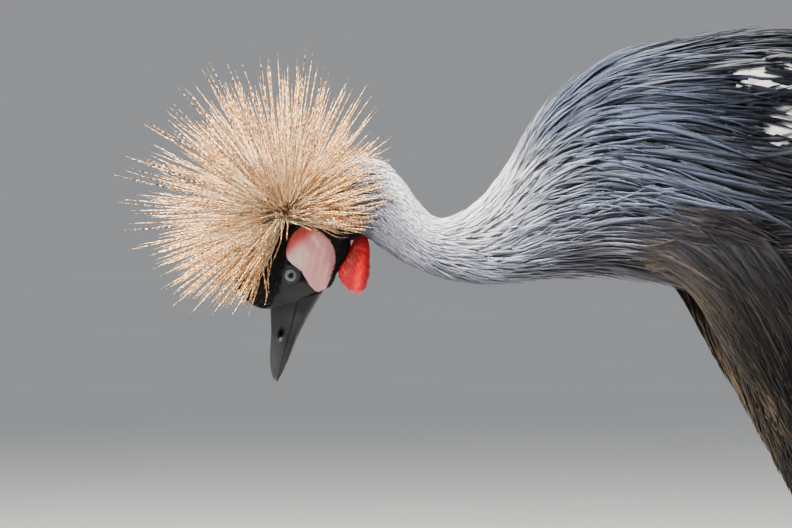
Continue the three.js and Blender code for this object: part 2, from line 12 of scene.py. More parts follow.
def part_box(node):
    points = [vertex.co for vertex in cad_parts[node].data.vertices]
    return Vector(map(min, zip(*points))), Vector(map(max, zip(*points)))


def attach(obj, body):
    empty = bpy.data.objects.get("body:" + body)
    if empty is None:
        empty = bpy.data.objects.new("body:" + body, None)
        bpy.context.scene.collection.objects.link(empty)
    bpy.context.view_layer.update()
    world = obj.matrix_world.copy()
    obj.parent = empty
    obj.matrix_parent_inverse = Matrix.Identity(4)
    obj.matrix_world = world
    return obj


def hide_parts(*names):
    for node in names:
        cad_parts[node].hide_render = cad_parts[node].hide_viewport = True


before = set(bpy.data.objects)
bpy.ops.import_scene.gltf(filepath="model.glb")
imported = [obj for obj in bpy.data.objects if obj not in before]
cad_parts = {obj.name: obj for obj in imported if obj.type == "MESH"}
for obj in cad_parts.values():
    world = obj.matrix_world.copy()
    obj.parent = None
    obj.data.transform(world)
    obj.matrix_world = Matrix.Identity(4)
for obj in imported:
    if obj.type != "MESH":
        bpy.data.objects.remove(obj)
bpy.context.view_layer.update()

rng = np.random.default_rng(20)
LEFT, RIGHT = -1, 1
SIDES = ((LEFT, "left"), (RIGHT, "right"))

# The eyes say where the bird's own frame lies in the row's frame.
EYE_LINE = np.array([-316.7, 0.0, 443.0])
EYE_OUT = 14.6


def box_middle(node):
    low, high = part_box(node)
    return (np.array(low) + np.array(high)) / 2


SHIFT = EYE_LINE - (box_middle("eye_left") + box_middle("eye_right")) * 500
SHIFT[2] = 0.0


def place(points):
    """Millimetres in the bird's own frame to metres in the row's frame"""
    return (np.asarray(points, float) - SHIFT) * 0.001


# Numbers


def mix(a, b, t):
    return a + (b - a) * t


def ease(x, start, end):
    t = np.clip((x - start) / (end - start), 0, 1)
    return t * t * (3 - 2 * t)


def unit(v):
    return v / np.maximum(np.linalg.norm(v, axis=-1, keepdims=True), 1e-9)


class Form:
    """A run of oval sections: x, z of the centre, half height, half width and lean in degrees.
    Angle 0 is the back, and a quarter turn is the left side."""

    def __init__(self, stations, y=0.0):
        self.rows = np.array(stations, float)
        self.end = len(stations) - 1
        self.y = y

    def values(self, u):
        u = np.asarray(u, float)
        i = np.clip(np.floor(u).astype(int), 0, self.end - 1)
        t = np.clip(u - i, -0.5, 1.5)[..., None]
        at = lambda k: self.rows[np.clip(k, 0, self.end)]
        a, b, c, d = at(i - 1), at(i), at(i + 1), at(i + 2)
        cubic = (3 * b - a - 3 * c + d) * t**3
        return 0.5 * (2 * b + (c - a) * t + (2 * a - 5 * b + 4 * c - d) * t * t + cubic)

    def surface(self, u, angle, rise=0.0):
        x, z, tall, wide, lean = np.moveaxis(self.values(u), -1, 0)
        lean = np.radians(lean)
        up = (tall + rise) * np.cos(angle)
        out = (wide + rise) * np.sin(angle)
        return np.stack([x - np.sin(lean) * up, self.y - out, z + np.cos(lean) * up], -1)

    def girth(self, u):
        _, _, tall, wide, _ = self.values(u)
        return math.pi * (tall + wide)

    def pace(self, u, angle):
        """Millimetres for one station along, and for one radian round"""
        e = 0.02
        back = np.linalg.norm(self.surface(u + e, angle) - self.surface(u - e, angle), axis=-1)
        turn = np.linalg.norm(self.surface(u, angle + e) - self.surface(u, angle - e), axis=-1)
        return np.maximum(back / (2 * e), 1.0), np.maximum(turn / (2 * e), 1.0)

    def station(self, x, first=0):
        """The station at an x, where x grows along the form"""
        fine = np.linspace(first, self.end, 400)
        return np.interp(x, self.values(fine)[:, 0], fine)


# Body and neck, from the back of the head to the rump
BODY = Form([
    [-292.5, 486.0, 25.7, 21.0, 38],
    [-271.5, 501.0, 30.5, 22.5, 17],
    [-251.5, 501.5, 30.5, 22.5, -8],
    [-238.0, 490.0, 27.2, 22.0, -18],
    [-226.0, 477.5, 23.4, 21.0, -21],
    [-210.0, 466.5, 21.2, 20.5, -17],
    [-190.5, 463.7, 25.2, 23.0, -5],
    [-165.5, 468.4, 33.5, 30.0, 6],
    [-144.5, 480.9, 44.0, 39.5, 7],
    [-124.5, 498.8, 59.0, 51.0, 5],
    [-103.0, 513.2, 71.0, 62.0, 3],
    [-68.0, 527.3, 83.0, 74.5, 1],
    [-29.0, 530.0, 91.5, 83.5, 0],
    [18.0, 528.8, 100.0, 89.0, 0],
    [65.0, 527.7, 102.5, 90.0, 0],
    [119.0, 526.5, 98.0, 84.0, -1],
    [174.0, 525.3, 87.0, 72.0, -3],
    [228.5, 522.5, 69.0, 54.0, -5],
    [275.0, 519.0, 50.0, 36.0, -7],
    [314.0, 514.0, 34.0, 24.0, -12],
])
MANTLE = Form([
    [2.3, 529.6, 104.0, 92.5, 0],
    [64.7, 528.0, 106.0, 95.0, 0],
    [127.0, 525.7, 102.5, 92.0, -2],
    [189.5, 521.0, 93.0, 82.0, -5],
    [252.0, 513.2, 77.0, 67.0, -9],
    [314.3, 500.8, 58.0, 52.0, -14],
    [376.7, 482.0, 42.0, 39.0, -19],
    [439.0, 457.0, 27.0, 28.0, -24],
    [462.5, 446.0, 20.0, 22.0, -26],
])
WING_TOP = [44, 36, 30, 25, 21, 18, 17, 20, 26]
WING_BOTTOM = [76, 86, 101, 112, 118, 121, 122, 112, 100]

# Head, in its own frame: the bill points along -x and the eyes are at the origin's height.
HEAD_PITCH = math.radians(-75)
MOUTH = -11.0
TURN = np.array([
    [math.cos(HEAD_PITCH), 0, math.sin(HEAD_PITCH)],
    [0, 1, 0],
    [-math.sin(HEAD_PITCH), 0, math.cos(HEAD_PITCH)],
])


def from_head(points):
    return np.asarray(points, float) @ TURN.T + EYE_LINE


def to_head(points):
    return (np.asarray(points, float) - EYE_LINE) @ TURN


nape = to_head([[BODY.rows[0, 0], 0, BODY.rows[0, 1]]])[0]
HEAD = Form([
    [-19.2, -9.5, 21.0, 11.5, 32],
    [-5.0, -3.0, 27.0, 18.5, 14],
    [15.0, -2.0, 29.5, 22.0, 0],
    [32.0, -4.5, 29.0, 22.5, -18],
    [nape[0], nape[2], 25.7, 21.0, 38 - 75],
])
FORECROWN = {"centre": (2.0, 0.0, 16.0), "radii": (34.5, 19.5, 29.3)}

# Legs
LEG = {
    LEFT: {"knee": (47, 434), "hock": (137, 205), "foot": (112, 13)},
    RIGHT: {"knee": (38, 436), "hock": (108, 204), "foot": (60, 13)},
}
KNEE_OUT = 46.0
FEATHER_END = 6.0  # the station where the shank's scales begin


def leg_form(side):
    """From inside the flank, down the thigh and the shank, to the foot"""
    knee, hock, foot = (np.array(LEG[side][joint], float) for joint in ("knee", "hock", "foot"))
    shank = math.degrees(math.atan2(foot[1] - hock[1], foot[0] - hock[0]))
    upper = -69
    rows = [
        (knee, hock, -0.44, 30, 8, upper),
        (knee, hock, -0.28, 40, 18, upper),
        (knee, hock, -0.12, 44, 26, upper),
        (knee, hock, 0.1, 41, 25, upper),
        (knee, hock, 0.35, 27, 19, upper),
        (knee, hock, 0.6, 14.5, 12, upper),
        (knee, hock, 0.74, 9, 8, upper),
        (knee, hock, 0.88, 7.5, 7, upper),
        (knee, hock, 0.97, 11, 9.5, -80),
        (hock, foot, 0.03, 10.5, 9, -95),
        (hock, foot, 0.14, 6.8, 6, shank),
        (hock, foot, 0.5, 5.8, 5, shank),
        (hock, foot, 0.86, 6.2, 5.4, shank),
        (hock, foot, 0.95, 8, 7, shank),
        (hock, foot, 1, 8.5, 8, shank),
    ]
    return Form([[*mix(a, b, t), tall, wide, lean] for a, b, t, tall, wide, lean in rows], side * KNEE_OUT)


LEGS = {side: leg_form(side) for side, _ in SIDES}

# Colours, as light reflected
# The two pearl colours are painted light and painted shade: the neck's lit top and its shaded lower side.
PEARL_PAINTED_LIGHT = np.array([0.70, 0.71, 0.75])
PEARL_PAINTED_SHADE = np.array([0.20, 0.21, 0.26])
SLATE = np.array([0.0065, 0.011, 0.024])
BREAST = np.array([0.090, 0.112, 0.175])
FLANK = np.array([0.052, 0.053, 0.070])
DUSK = np.array([0.014, 0.015, 0.021])
BELLY = np.array([0.070, 0.058, 0.056])
THIGH = np.array([0.012, 0.010, 0.0095])
THIGH_EDGE = np.array([0.17, 0.11, 0.055])
VELVET = np.array([0.0055, 0.005, 0.006])
LORES = np.array([0.011, 0.0113, 0.013])
WHITE = np.array([0.88, 0.87, 0.84])
GOLD = np.array([0.72, 0.40, 0.08])
CHESTNUT = np.array([0.065, 0.016, 0.009])
BLACK = np.array([0.012, 0.011, 0.013])
CREAM = np.array([1.0, 0.90, 0.66])
STRAW = np.array([0.85, 0.42, 0.085])


def on_lores(local):
    """1 on the bare dark skin between the bill, the eye and the cheek"""
    x, z = local[..., 0], local[..., 2]
    top = 4.8 + 3.7 * np.clip((-16.7 - x) / 13.3, 0, 1)
    return ease(top - z, -0.6, 0.6) * ease(-x, 2.0, 5.0)


def body_colour(points):
    """Markings of the whole bird, with painted light on the top of the neck and painted shade on its lower
    side, for the skin and for the feathers' roots alike
    """
    x, z = points[..., 0], points[..., 2]
    u = BODY.station(x)
    rows = BODY.values(u)
    height = np.clip((z - rows[..., 1]) / rows[..., 2], -1, 1)[..., None]
    back = x[..., None]
    # painted light and shade: the neck is lighter at its top and darker on its lower side
    neck = mix(PEARL_PAINTED_SHADE, PEARL_PAINTED_LIGHT, ease(height, -0.25, 1.05))
    body = mix(BREAST, FLANK, ease(back, -130, -20))
    body = mix(body, DUSK, ease(back, -20, 100))
    body = mix(body, BELLY, ease(-height, 0.35, 0.9))
    body = mix(body, SLATE, ease(height, 0.0, 0.55) * ease(back, -115, -25))
    colour = mix(neck, body, ease(back, -195, -90 - 45 * height))
    local = to_head(points)
    on_head = ease(-local[..., 0:1], -46, -41) * (back < -255)
    colour = mix(colour, VELVET, on_head)
    colour = mix(colour, LORES, on_head * on_lores(local)[..., None])
    low = ease(-z[..., None], -462, -436) * (back > -30)
    return mix(colour, THIGH, low)


# Meshes


def smooth_mesh(name, verts, faces, colours=None, loose=None):
    """A shaded mesh. loose holds numbers for each vertex by name, read by the materials."""
    mesh = bpy.data.meshes.new(name)
    verts = np.asarray(verts, np.float32).reshape(-1, 3)
    if isinstance(faces, list):
        sizes = np.array([len(face) for face in faces])
        corners = np.concatenate(faces)
    else:
        sizes = np.full(len(faces), faces.shape[1])
        corners = faces.reshape(-1)
    starts = np.cumsum(sizes) - sizes
    mesh.vertices.add(len(verts))
    mesh.vertices.foreach_set("co", verts.reshape(-1))
    mesh.loops.add(len(corners))
    mesh.loops.foreach_set("vertex_index", corners.astype(np.int32))
    mesh.polygons.add(len(sizes))
    mesh.polygons.foreach_set("loop_start", starts.astype(np.int32))
    mesh.polygons.foreach_set("loop_total", sizes.astype(np.int32))
    mesh.update(calc_edges=True)
    mesh.validate()
    mesh.shade_smooth()
    if colours is not None:
        layer = mesh.attributes.new("Col", "FLOAT_COLOR", "POINT")
        rgba = np.ones((len(verts), 4), np.float32)
        rgba[:, :3] = np.asarray(colours).reshape(-1, 3)
        layer.data.foreach_set("color", rgba.reshape(-1))
    for key, values in (loose or {}).items():
        layer = mesh.attributes.new(key, "FLOAT", "POINT")
        layer.data.foreach_set("value", np.asarray(values, np.float32).reshape(-1))
    piece = bpy.data.objects.new(name, mesh)
    bpy.context.scene.collection.objects.link(piece)
    return piece


def dress(piece, material, replaced=()):
    """Gives a piece its material, hangs it under the root and hides the parts of the model that it replaces.
    """
    piece.data.materials.clear()
    piece.data.materials.append(material)
    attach(piece, "root")
    if replaced:
        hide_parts(*replaced)


MAP_BORDER = 0.02  # left free round the bake maps


def set_bake_map(piece, uv):
    """Writes one place in the bake map for each vertex."""
    mesh = piece.data
    layer = mesh.uv_layers.new(name="OFBake")
    corners = np.empty(len(mesh.loops), np.int32)
    mesh.loops.foreach_get("vertex_index", corners)
    layer.data.foreach_set("uv", np.asarray(uv, np.float32)[corners].reshape(-1))


def bare_piece(name, points, faces, colours, uv, material, replaced=()):
    """A piece without feathers, from points in millimetres. uv is two rows of numbers."""
    made = smooth_mesh(name, place(points), faces, np.broadcast_to(colours, points.shape))
    set_bake_map(made, np.stack(list(uv), -1))
    dress(made, MATERIALS[material], replaced)


def circle(count):
    return np.linspace(0, 2 * math.pi, count, endpoint=False)


def rings_mesh(rings):
    """Faces of a closed tube: rings is an array of rings by sides by 3."""
    count, sides = rings.shape[:2]
    faces = []
    for i in range(count - 1):
        for k in range(sides):
            n = (k + 1) % sides
            faces.append([i * sides + k, i * sides + n, (i + 1) * sides + n, (i + 1) * sides + k])
    faces.append(list(range(sides - 1, -1, -1)))
    faces.append([(count - 1) * sides + k for k in range(sides)])
    return rings.reshape(-1, 3), faces


def loft(form, first, last, steps, sides, rise=0.0):
    """A closed tube along a form. rise is a number, or a function of the station."""
    u = np.linspace(first, last, steps + 1)[:, None] + 0 * circle(sides)
    return rings_mesh(form.surface(u, circle(sides) + 0 * u, rise(u) if callable(rise) else rise))


def ellipsoid(centre, radii, rise=0.0, steps=24, sides=32):
    polar = np.linspace(0.02, math.pi - 0.02, steps)[:, None]
    turn = circle(sides)
    r = np.array(radii) + rise
    rings = np.stack([
        r[0] * np.sin(polar) * np.cos(turn),
        r[1] * np.sin(polar) * np.sin(turn),
        r[2] * np.cos(polar) + 0 * turn,
    ], -1)
    return rings_mesh(rings + np.array(centre))


def merged(parts):
    verts, faces, start = [], [], 0
    for points, polygons in parts:
        verts.append(points)
        faces += [[corner + start for corner in polygon] for polygon in polygons]
        start += len(points)
    return np.concatenate(verts), faces


def remeshed(parts, cell, smoothing=2):
    """One closed surface round overlapping parts, as points in millimetres and faces of four corners"""
    piece = smooth_mesh("parts", *merged(parts))
    cells = piece.modifiers.new("cells", "REMESH")
    cells.mode = "VOXEL"
    cells.voxel_size = cell
    relax = piece.modifiers.new("relax", "SMOOTH")
    relax.factor = 0.5
    relax.iterations = smoothing
    bpy.context.view_layer.update()
    shown = piece.evaluated_get(bpy.context.evaluated_depsgraph_get())
    made = shown.to_mesh()
    points = np.empty(len(made.vertices) * 3, np.float32)
    made.vertices.foreach_get("co", points)
    corners = np.empty(len(made.loops), np.int32)
    made.loops.foreach_get("vertex_index", corners)
    shown.to_mesh_clear()
    bpy.data.objects.remove(piece)
    return points.reshape(-1, 3), corners.reshape(-1, 4)


# Blades: feathers, tufts and bristles as thin closed tapered meshes

SLIM = (np.array([-1.0, 0, 1]), np.array([-0.6, 1.0, -0.6]))
FLAT = (np.array([-1.0, 0, 1, 0]), np.array([0, 1.0, 0, -1]))
BROAD = (
    np.array([-1.0, -0.55, -0.06, 0.06, 0.55, 1, 0.55, 0.06, -0.06, -0.55]),
    np.array([0.0, 0.5, 1.0, 1.0, 0.5, 0, -0.5, -0.7, -0.7, -0.5]),
)
PLUME = ([0, 0.12, 0.35, 0.62, 0.85, 1], [0.35, 0.8, 1, 0.8, 0.42, 0.03])
QUILL = ([0, 0.06, 0.2, 0.7, 0.88, 0.96, 1], [0.2, 0.7, 1, 0.98, 0.75, 0.45, 0.08])
ROUND = ([0, 0.1, 0.35, 0.75, 0.92, 1], [0.3, 0.7, 1, 0.92, 0.55, 0.05])


class Blades:
    """Gathers blades and makes one piece of them."""

    def __init__(self):
        self.points, self.faces, self.colours, self.uv = [], [], [], []
        self.loose = {"along": [], "across": [], "tone": []}
        self.count = 0

    def add(self, path, side, up, width, thick, outline, section, camber, colour, patch, tone):
        """path is N by S by 3; width and thick are N; colour is N by 3 or N by S by 3; patch is N by 2."""
        n, steps = path.shape[:2]
        across, above = section
        k = len(across)
        t = np.linspace(0, 1, steps)
        half = width[:, None] / 2 * np.interp(t, *outline)[None, :]
        deep = thick[:, None] / 2 * np.interp(t, [0, 0.7, 1], [1, 0.8, 0.25])[None, :]
        drop = camber * half[..., None] * across[None, None, :] ** 2
        ring = (
            path[:, :, None, :]
            + side[:, :, None, :] * (half[..., None] * across)[..., None]
            + up[:, :, None, :] * (deep[..., None] * above - drop)[..., None]
        )
        base = self.count + np.arange(n)[:, None, None] * (steps * k)
        i = np.arange(steps - 1)[None, :, None] * k
        c, d = np.arange(k)[None, None, :], (np.arange(k) + 1) % k
        d = d[None, None, :]
        quads = np.stack([base + i + c, base + i + d, base + i + k + d, base + i + k + c], -1)
        self.faces.append(quads.reshape(-1, 4))
        ends = np.arange(k // 2 - (k % 2 == 0))
        for first in (0, (steps - 1) * k):
            cap = [[j, j + 1, k - 2 - j, k - 1 - j] for j in ends if j + 1 < k - 2 - j]
            cap = np.array(cap, int).reshape(-1, 4)
            if first == 0:
                cap = cap[:, ::-1]
            self.faces.append((base[:, :, 0][:, :, None] + first + cap[None]).reshape(-1, 4))
        self.points.append(ring.reshape(-1, 3))
        shape = (n, steps, k)
        colour = np.broadcast_to(colour if colour.ndim == 3 else colour[:, None, :], (n, steps, 3))
        self.colours.append(np.broadcast_to(colour[:, :, None, :], (*shape, 3)).reshape(-1, 3))
        along = np.broadcast_to(t[None, :, None], shape).reshape(-1)
        wide = np.broadcast_to(across[None, None, :], shape).reshape(-1)
        self.loose["along"].append(along)
        self.loose["across"].append(wide)
        self.loose["tone"].append(np.broadcast_to(tone[:, None, None], shape).reshape(-1))
        spot = np.broadcast_to(patch[:, None, None, :], (*shape, 2)).reshape(-1, 2)
        self.uv.append(spot + 0.003 * np.stack([wide / 2, along - 0.5], -1))
        self.count += n * steps * k

    def piece(self, name, material, slot, replaced=()):
        loose = {key: np.concatenate(values) for key, values in self.loose.items()}
        verts = place(np.concatenate(self.points))
        made = smooth_mesh(name, verts, np.concatenate(self.faces), np.concatenate(self.colours), loose)
        set_bake_map(made, np.clip(np.concatenate(self.uv), 0, 1))
        dress(made, MATERIALS[material], replaced)


def unrolled(form, u, angle):
    """A root's place in the bake map, where the form is cut open along its back and laid flat"""
    flat = np.stack([np.clip(u / form.end, 0, 1), angle / (2 * math.pi) % 1], -1)
    return MAP_BORDER + (1 - 2 * MAP_BORDER) * flat


def lay(blades, form, u, angle, length, width, *, turn=0.0, sink=4.0, rise=3.0, lift=1.0, bend=0.0,
        roll=0.0, thick=0.7, steps=7, outline=PLUME, section=FLAT, camber=0.18, colour=None):
    """Blades that lie back along a form, from their roots at (u, angle) for their lengths"""
    n = len(u)
    length, width, turn, sink, rise, bend, roll, thick = (
        np.broadcast_to(value, n) for value in (length, width, turn, sink, rise, bend, roll, thick)
    )
    at, round_ = [u], [angle]
    for step in range(steps - 1):
        back, girth = form.pace(at[-1], round_[-1])
        way = turn + bend * (step / (steps - 1) - 0.3)
        at.append(at[-1] + length / (steps - 1) * np.cos(way) / back)
        round_.append(round_[-1] + length / (steps - 1) * np.sin(way) / girth)
    at, round_ = np.stack(at, 1), np.stack(round_, 1)
    t = np.linspace(0, 1, steps)[None, :]
    height = -sink[:, None] + (sink + rise)[:, None] * t**lift
    path = form.surface(at, round_, height)
    up = unit(form.surface(at, round_, height + 1.0) - path)
    ahead = unit(np.gradient(path, axis=1))
    side = unit(np.cross(ahead, up))
    up = unit(np.cross(side, ahead))
    c, s = np.cos(roll)[:, None, None], np.sin(roll)[:, None, None]
    side, up = side * c + up * s, up * c - side * s
    if colour is None:
        colour = body_colour(path[:, 0])
    colour = np.asarray(colour, float)
    if colour.ndim == 1:
        colour = np.broadcast_to(colour, (n, 3))
    blades.add(path, side, up, width, thick, outline, section, camber, colour, unrolled(form, u, angle),
               rng.random(n))


ROOT_JITTER = 0.35  # how far a root strays from its place, in steps of its row


def roots(form, first, last, step, gap):
    """Root places in staggered rows. step and gap are functions of the station, or numbers."""
    value = lambda size, u: size(u) if callable(size) else size
    found_u, found_a = [], []
    u, row = first, 0
    while u < last:
        count = max(int(form.girth(u) / value(gap, u)), 6)
        order = np.arange(count) + 0.5 * (row % 2) + ROOT_JITTER * (rng.random(count) - 0.5)
        angle = order / count * 2 * math.pi
        back, _ = form.pace(np.full(count, u), angle)
        pitch = value(step, u)
        found_u.append(u + ROOT_JITTER * pitch * (rng.random(count) - 0.5) / back)
        found_a.append(angle)
        u += pitch / float(np.median(back))
        row += 1
    return np.concatenate(found_u), np.concatenate(found_a)


def out_of(points, form, clear, last):
    """Moves points outwards until they clear a form's nearest section."""
    rows = form.values(np.arange(0, last, 0.05))
    flat = points.reshape(-1, 3)
    clear = np.broadcast_to(clear, (*points.shape[:-1], 1)).reshape(-1)
    far = np.hypot(flat[:, None, 0] - rows[None, :, 0], flat[:, None, 2] - rows[None, :, 1])
    row = rows[far.argmin(axis=1)]
    centre = np.stack([row[:, 0], np.full(len(row), form.y), row[:, 1]], -1)
    off = flat - centre
    share = np.hypot(np.hypot(off[:, 0], off[:, 2]) / (row[:, 2] + clear), off[:, 1] / (row[:, 3] + clear))
    push = np.where(share < 1, 1 / np.maximum(share, 0.2), 1.0)[:, None]
    return (centre + off * push).reshape(points.shape)


def relaxed(path, rounds):
    """Evens out a path between its two ends."""
    for _ in range(rounds):
        path = path.copy()
        path[:, 1:-1] = 0.5 * path[:, 1:-1] + 0.25 * (path[:, :-2] + path[:, 2:])
    return path


# Materials


class Paint:
    """A material with one principled shader, and short names for the nodes that feed it"""

    def __init__(self, name, **sockets):
        self.material = bpy.data.materials.new(name)
        self.material.use_nodes = True
        self.tree = self.material.node_tree
        self.shader = self.tree.nodes["Principled BSDF"]
        for socket, value in sockets.items():
            self.shader.inputs[socket.replace("_", " ")].default_value = value

    def node(self, kind, *links, **settings):
        made = self.tree.nodes.new("ShaderNode" + kind)
        for key, value in settings.items():
            setattr(made, key, value)
        for i, source in enumerate(links):
            self.feed(made.inputs[i], source)
        return made

    def feed(self, socket, source):
        if source is None:
            return
        if isinstance(source, bpy.types.NodeSocket):
            self.tree.links.new(source, socket)
        else:
            socket.default_value = source

    def read(self, name):
        return self.node("Attribute", attribute_name=name).outputs["Fac"]

    def colour(self):
        return self.node("Attribute", attribute_name="Col").outputs["Color"]

    def math(self, operation, a, b=None, c=None):
        return self.node("Math", a, b, c, operation=operation).outputs[0]

    def times(self, a, b):
        return self.math("MULTIPLY", a, b)

    def vector(self, x, y, z):
        return self.node("CombineXYZ", x, y, z).outputs[0]

    def place(self, scale):
        spot = self.node("TexCoord").outputs["Object"]
        return self.node("VectorMath", spot, (scale, scale, scale), operation="MULTIPLY").outputs[0]

    def noise(self, vector, scale=1.0, detail=2.0, roughness=0.5):
        made = self.node("TexNoise", vector)
        made.inputs["Scale"].default_value = scale
        made.inputs["Detail"].default_value = detail
        made.inputs["Roughness"].default_value = roughness
        return made.outputs["Fac"]

    def span(self, value, low, high, out_low, out_high):
        made = self.node("MapRange", value, low, high, out_low, out_high, interpolation_type="SMOOTHSTEP")
        return made.outputs[0]

    def scaled(self, colour, factor):
        """A colour times one factor, or times a factor for each of red, green and blue"""
        factors = factor if isinstance(factor, tuple) else self.vector(factor, factor, factor)
        return self.node("VectorMath", colour, factors, operation="MULTIPLY").outputs[0]

    def blend(self, factor, a, b):
        made = self.tree.nodes.new("ShaderNodeMix")
        made.data_type = "RGBA"
        self.feed(made.inputs[0], factor)
        self.feed(made.inputs[6], a)
        self.feed(made.inputs[7], b)
        return made.outputs[2]

    def bump(self, height, distance, strength=1.0):
        made = self.node("Bump")
        made.inputs["Strength"].default_value = strength
        made.inputs["Distance"].default_value = distance
        self.feed(made.inputs["Height"], height)
        self.feed(self.shader.inputs["Normal"], made.outputs[0])

    def finish(self, colour):
        self.feed(self.shader.inputs["Base Color"], colour)
        return self.material


def feather_material(name, barbs=26.0, slope=6.0, low=0.62, high=1.25, edge=1.15, shaft=0.8, rough=0.6,
                     sheen=0.05, grain=0.0004):
    """Barbs run out from the shaft at a slant. Their tone and relief come from the same noise."""
    paint = Paint(name, Roughness=rough, Sheen_Weight=sheen, Sheen_Roughness=0.4, Specular_IOR_Level=0.18)
    along, tone = paint.read("along"), paint.read("tone")
    across = paint.math("ABSOLUTE", paint.read("across"))
    slant = paint.math("SUBTRACT", paint.times(along, barbs), paint.times(across, slope))
    spot = paint.vector(slant, paint.times(tone, 61.0), paint.times(across, 0.8))
    barb = paint.noise(spot, 1.0, 3.0, 0.65)
    factor = paint.span(barb, 0.3, 0.7, low, high)
    factor = paint.times(factor, paint.span(across, 0.3, 1.0, 1.0, edge))
    factor = paint.times(factor, paint.span(across, 0.0, 0.22, shaft, 1.0))
    factor = paint.times(factor, paint.span(tone, 0.0, 1.0, 0.84, 1.16))
    paint.bump(barb, grain)
    return paint.finish(paint.scaled(paint.colour(), factor))


def skin_material(name, scale, low, high, relief, rough=0.7, sheen=0.0, **sockets):
    """Skin whose colour is in its vertices, with fine grain over it"""
    paint = Paint(name, Roughness=rough, Sheen_Weight=sheen, **sockets)
    grain = paint.noise(paint.place(scale), 1.0, 5.0, 0.6)
    paint.bump(grain, relief)
    return paint.finish(paint.scaled(paint.colour(), paint.span(grain, 0.3, 0.7, low, high)))


def bristle_material():
    """Stiff twisted bristles: a dark stripe winds round each one, and opposite it a painted glint of near
    white.
    """
    paint = Paint("crest_straw", Roughness=0.34, Specular_IOR_Level=0.6, Sheen_Weight=0.12,
                  Sheen_Roughness=0.3)
    along, across, tone = paint.read("along"), paint.read("across"), paint.read("tone")
    winding = paint.math("MULTIPLY_ADD", along, 140.0, paint.times(tone, 40.0))
    wave = paint.math("SINE", paint.math("MULTIPLY_ADD", across, 1.4, winding))
    dark = paint.scaled(paint.colour(), (0.42, 0.28, 0.16))
    stripe = paint.times(paint.span(wave, 0.0, 0.9, 0.0, 1.0), paint.span(along, 0.35, 0.75, 0.0, 0.75))
    # painted glint: near-white highlights on the outer part of the bristles
    painted_glint = paint.times(paint.span(wave, -0.95, -0.6, 1.0, 0.0), paint.span(along, 0.3, 0.7, 0.2, 0.8))
    colour = paint.blend(stripe, paint.colour(), dark)
    colour = paint.blend(painted_glint, colour, (0.97, 0.90, 0.80, 1.0))
    return paint.finish(paint.scaled(colour, paint.span(tone, 0.0, 1.0, 0.85, 1.15)))


def wattle_material():
    paint = Paint(
        "wattle_skin", Roughness=0.42, Subsurface_Weight=0.35, Subsurface_Scale=0.004, Specular_IOR_Level=0.3,
        Coat_Weight=0.08, Coat_Roughness=0.3,
    )
    paint.shader.inputs["Subsurface Radius"].default_value = (1.0, 0.22, 0.12)
    grain = paint.noise(paint.place(900.0), 1.0, 4.0, 0.6)
    paint.bump(grain, 0.0003)
    return paint.finish(paint.scaled(paint.colour(), paint.span(grain, 0.3, 0.75, 0.8, 1.15)))


MATERIALS = {
    "skin": skin_material("body_skin", 400.0, 0.8, 1.15, 0.0004),
    "body": feather_material("body_feather", barbs=36.0, slope=8.0, edge=1.6, shaft=0.62),
    "neck": feather_material("neck_feather", barbs=10.0, slope=3.0, low=0.85, high=1.1, edge=1.15, shaft=0.85,
                             rough=0.7, sheen=0.2, grain=0.0001),
    "velvet": feather_material("head_velvet", barbs=4.0, slope=1.0, low=0.85, high=1.15, rough=0.7,
                               sheen=0.03, grain=0.0001),
    "wing": feather_material("wing_feather", barbs=60.0, slope=16.0, low=0.86, high=1.08, edge=0.97,
                             shaft=0.9),
    "flight": feather_material("flight_feather", barbs=110.0, slope=26.0, low=0.6, high=1.35, edge=0.5,
                               shaft=0.5, rough=0.5),
    "tail": feather_material("tail_feather", barbs=100.0, slope=24.0, low=0.7, high=1.3, edge=1.0, shaft=1.6,
                             rough=0.45),
    "thigh": feather_material("thigh_feather", barbs=14.0, slope=4.0, edge=1.2, shaft=0.8),
    "crest": bristle_material(),
    "cheek": skin_material("cheek_skin", 900.0, 0.93, 1.05, 0.00015, rough=0.5, Subsurface_Weight=0.3,
                           Subsurface_Scale=0.004),
    "wattle": wattle_material(),
    "bill": skin_material("bill_horn", 700.0, 0.72, 1.25, 0.0001, rough=0.5, Specular_IOR_Level=0.28),
    "hollow": skin_material("bill_hollow", 900.0, 0.7, 1.3, 0.0001, rough=0.95, Specular_IOR_Level=0.02),
    "lid": skin_material("lid_skin", 1400.0, 0.7, 1.3, 0.0002, rough=0.5),
    "eye": skin_material("eye", 2500.0, 0.85, 1.12, 0.00001, rough=0.2, Specular_IOR_Level=0.1,
                         Coat_Weight=0.7, Coat_Roughness=0.03, Coat_IOR=1.33),
    "leg": skin_material("leg_scale", 900.0, 0.7, 1.3, 0.0002, rough=0.5),
    "claw": skin_material("claw_horn", 900.0, 0.7, 1.3, 0.0001, rough=0.4),
}


# Skin under the feathers: one closed surface from the head to the rump and down to the shanks

SKIN_DEPTH = {"neck": -2.2, "body": -5.5, "head": -0.9, "leg": -1.6}
SKIN_CELL = 1.8
SKIN_PAINTED_SHADE = 0.5  # painted shade: how much darker the skin is under the feathers of the body than on the head
THROAT = {"centre": (-280, 0, 464), "radii": (9.5, 9, 19)}
JAW = {"centre": (-294.5, 0, 447.5), "radii": (13.0, 15, 18.0)}
FLESH = ["torso", "neck_upper", "neck_lower", "head", "thigh_left", "thigh_right"]


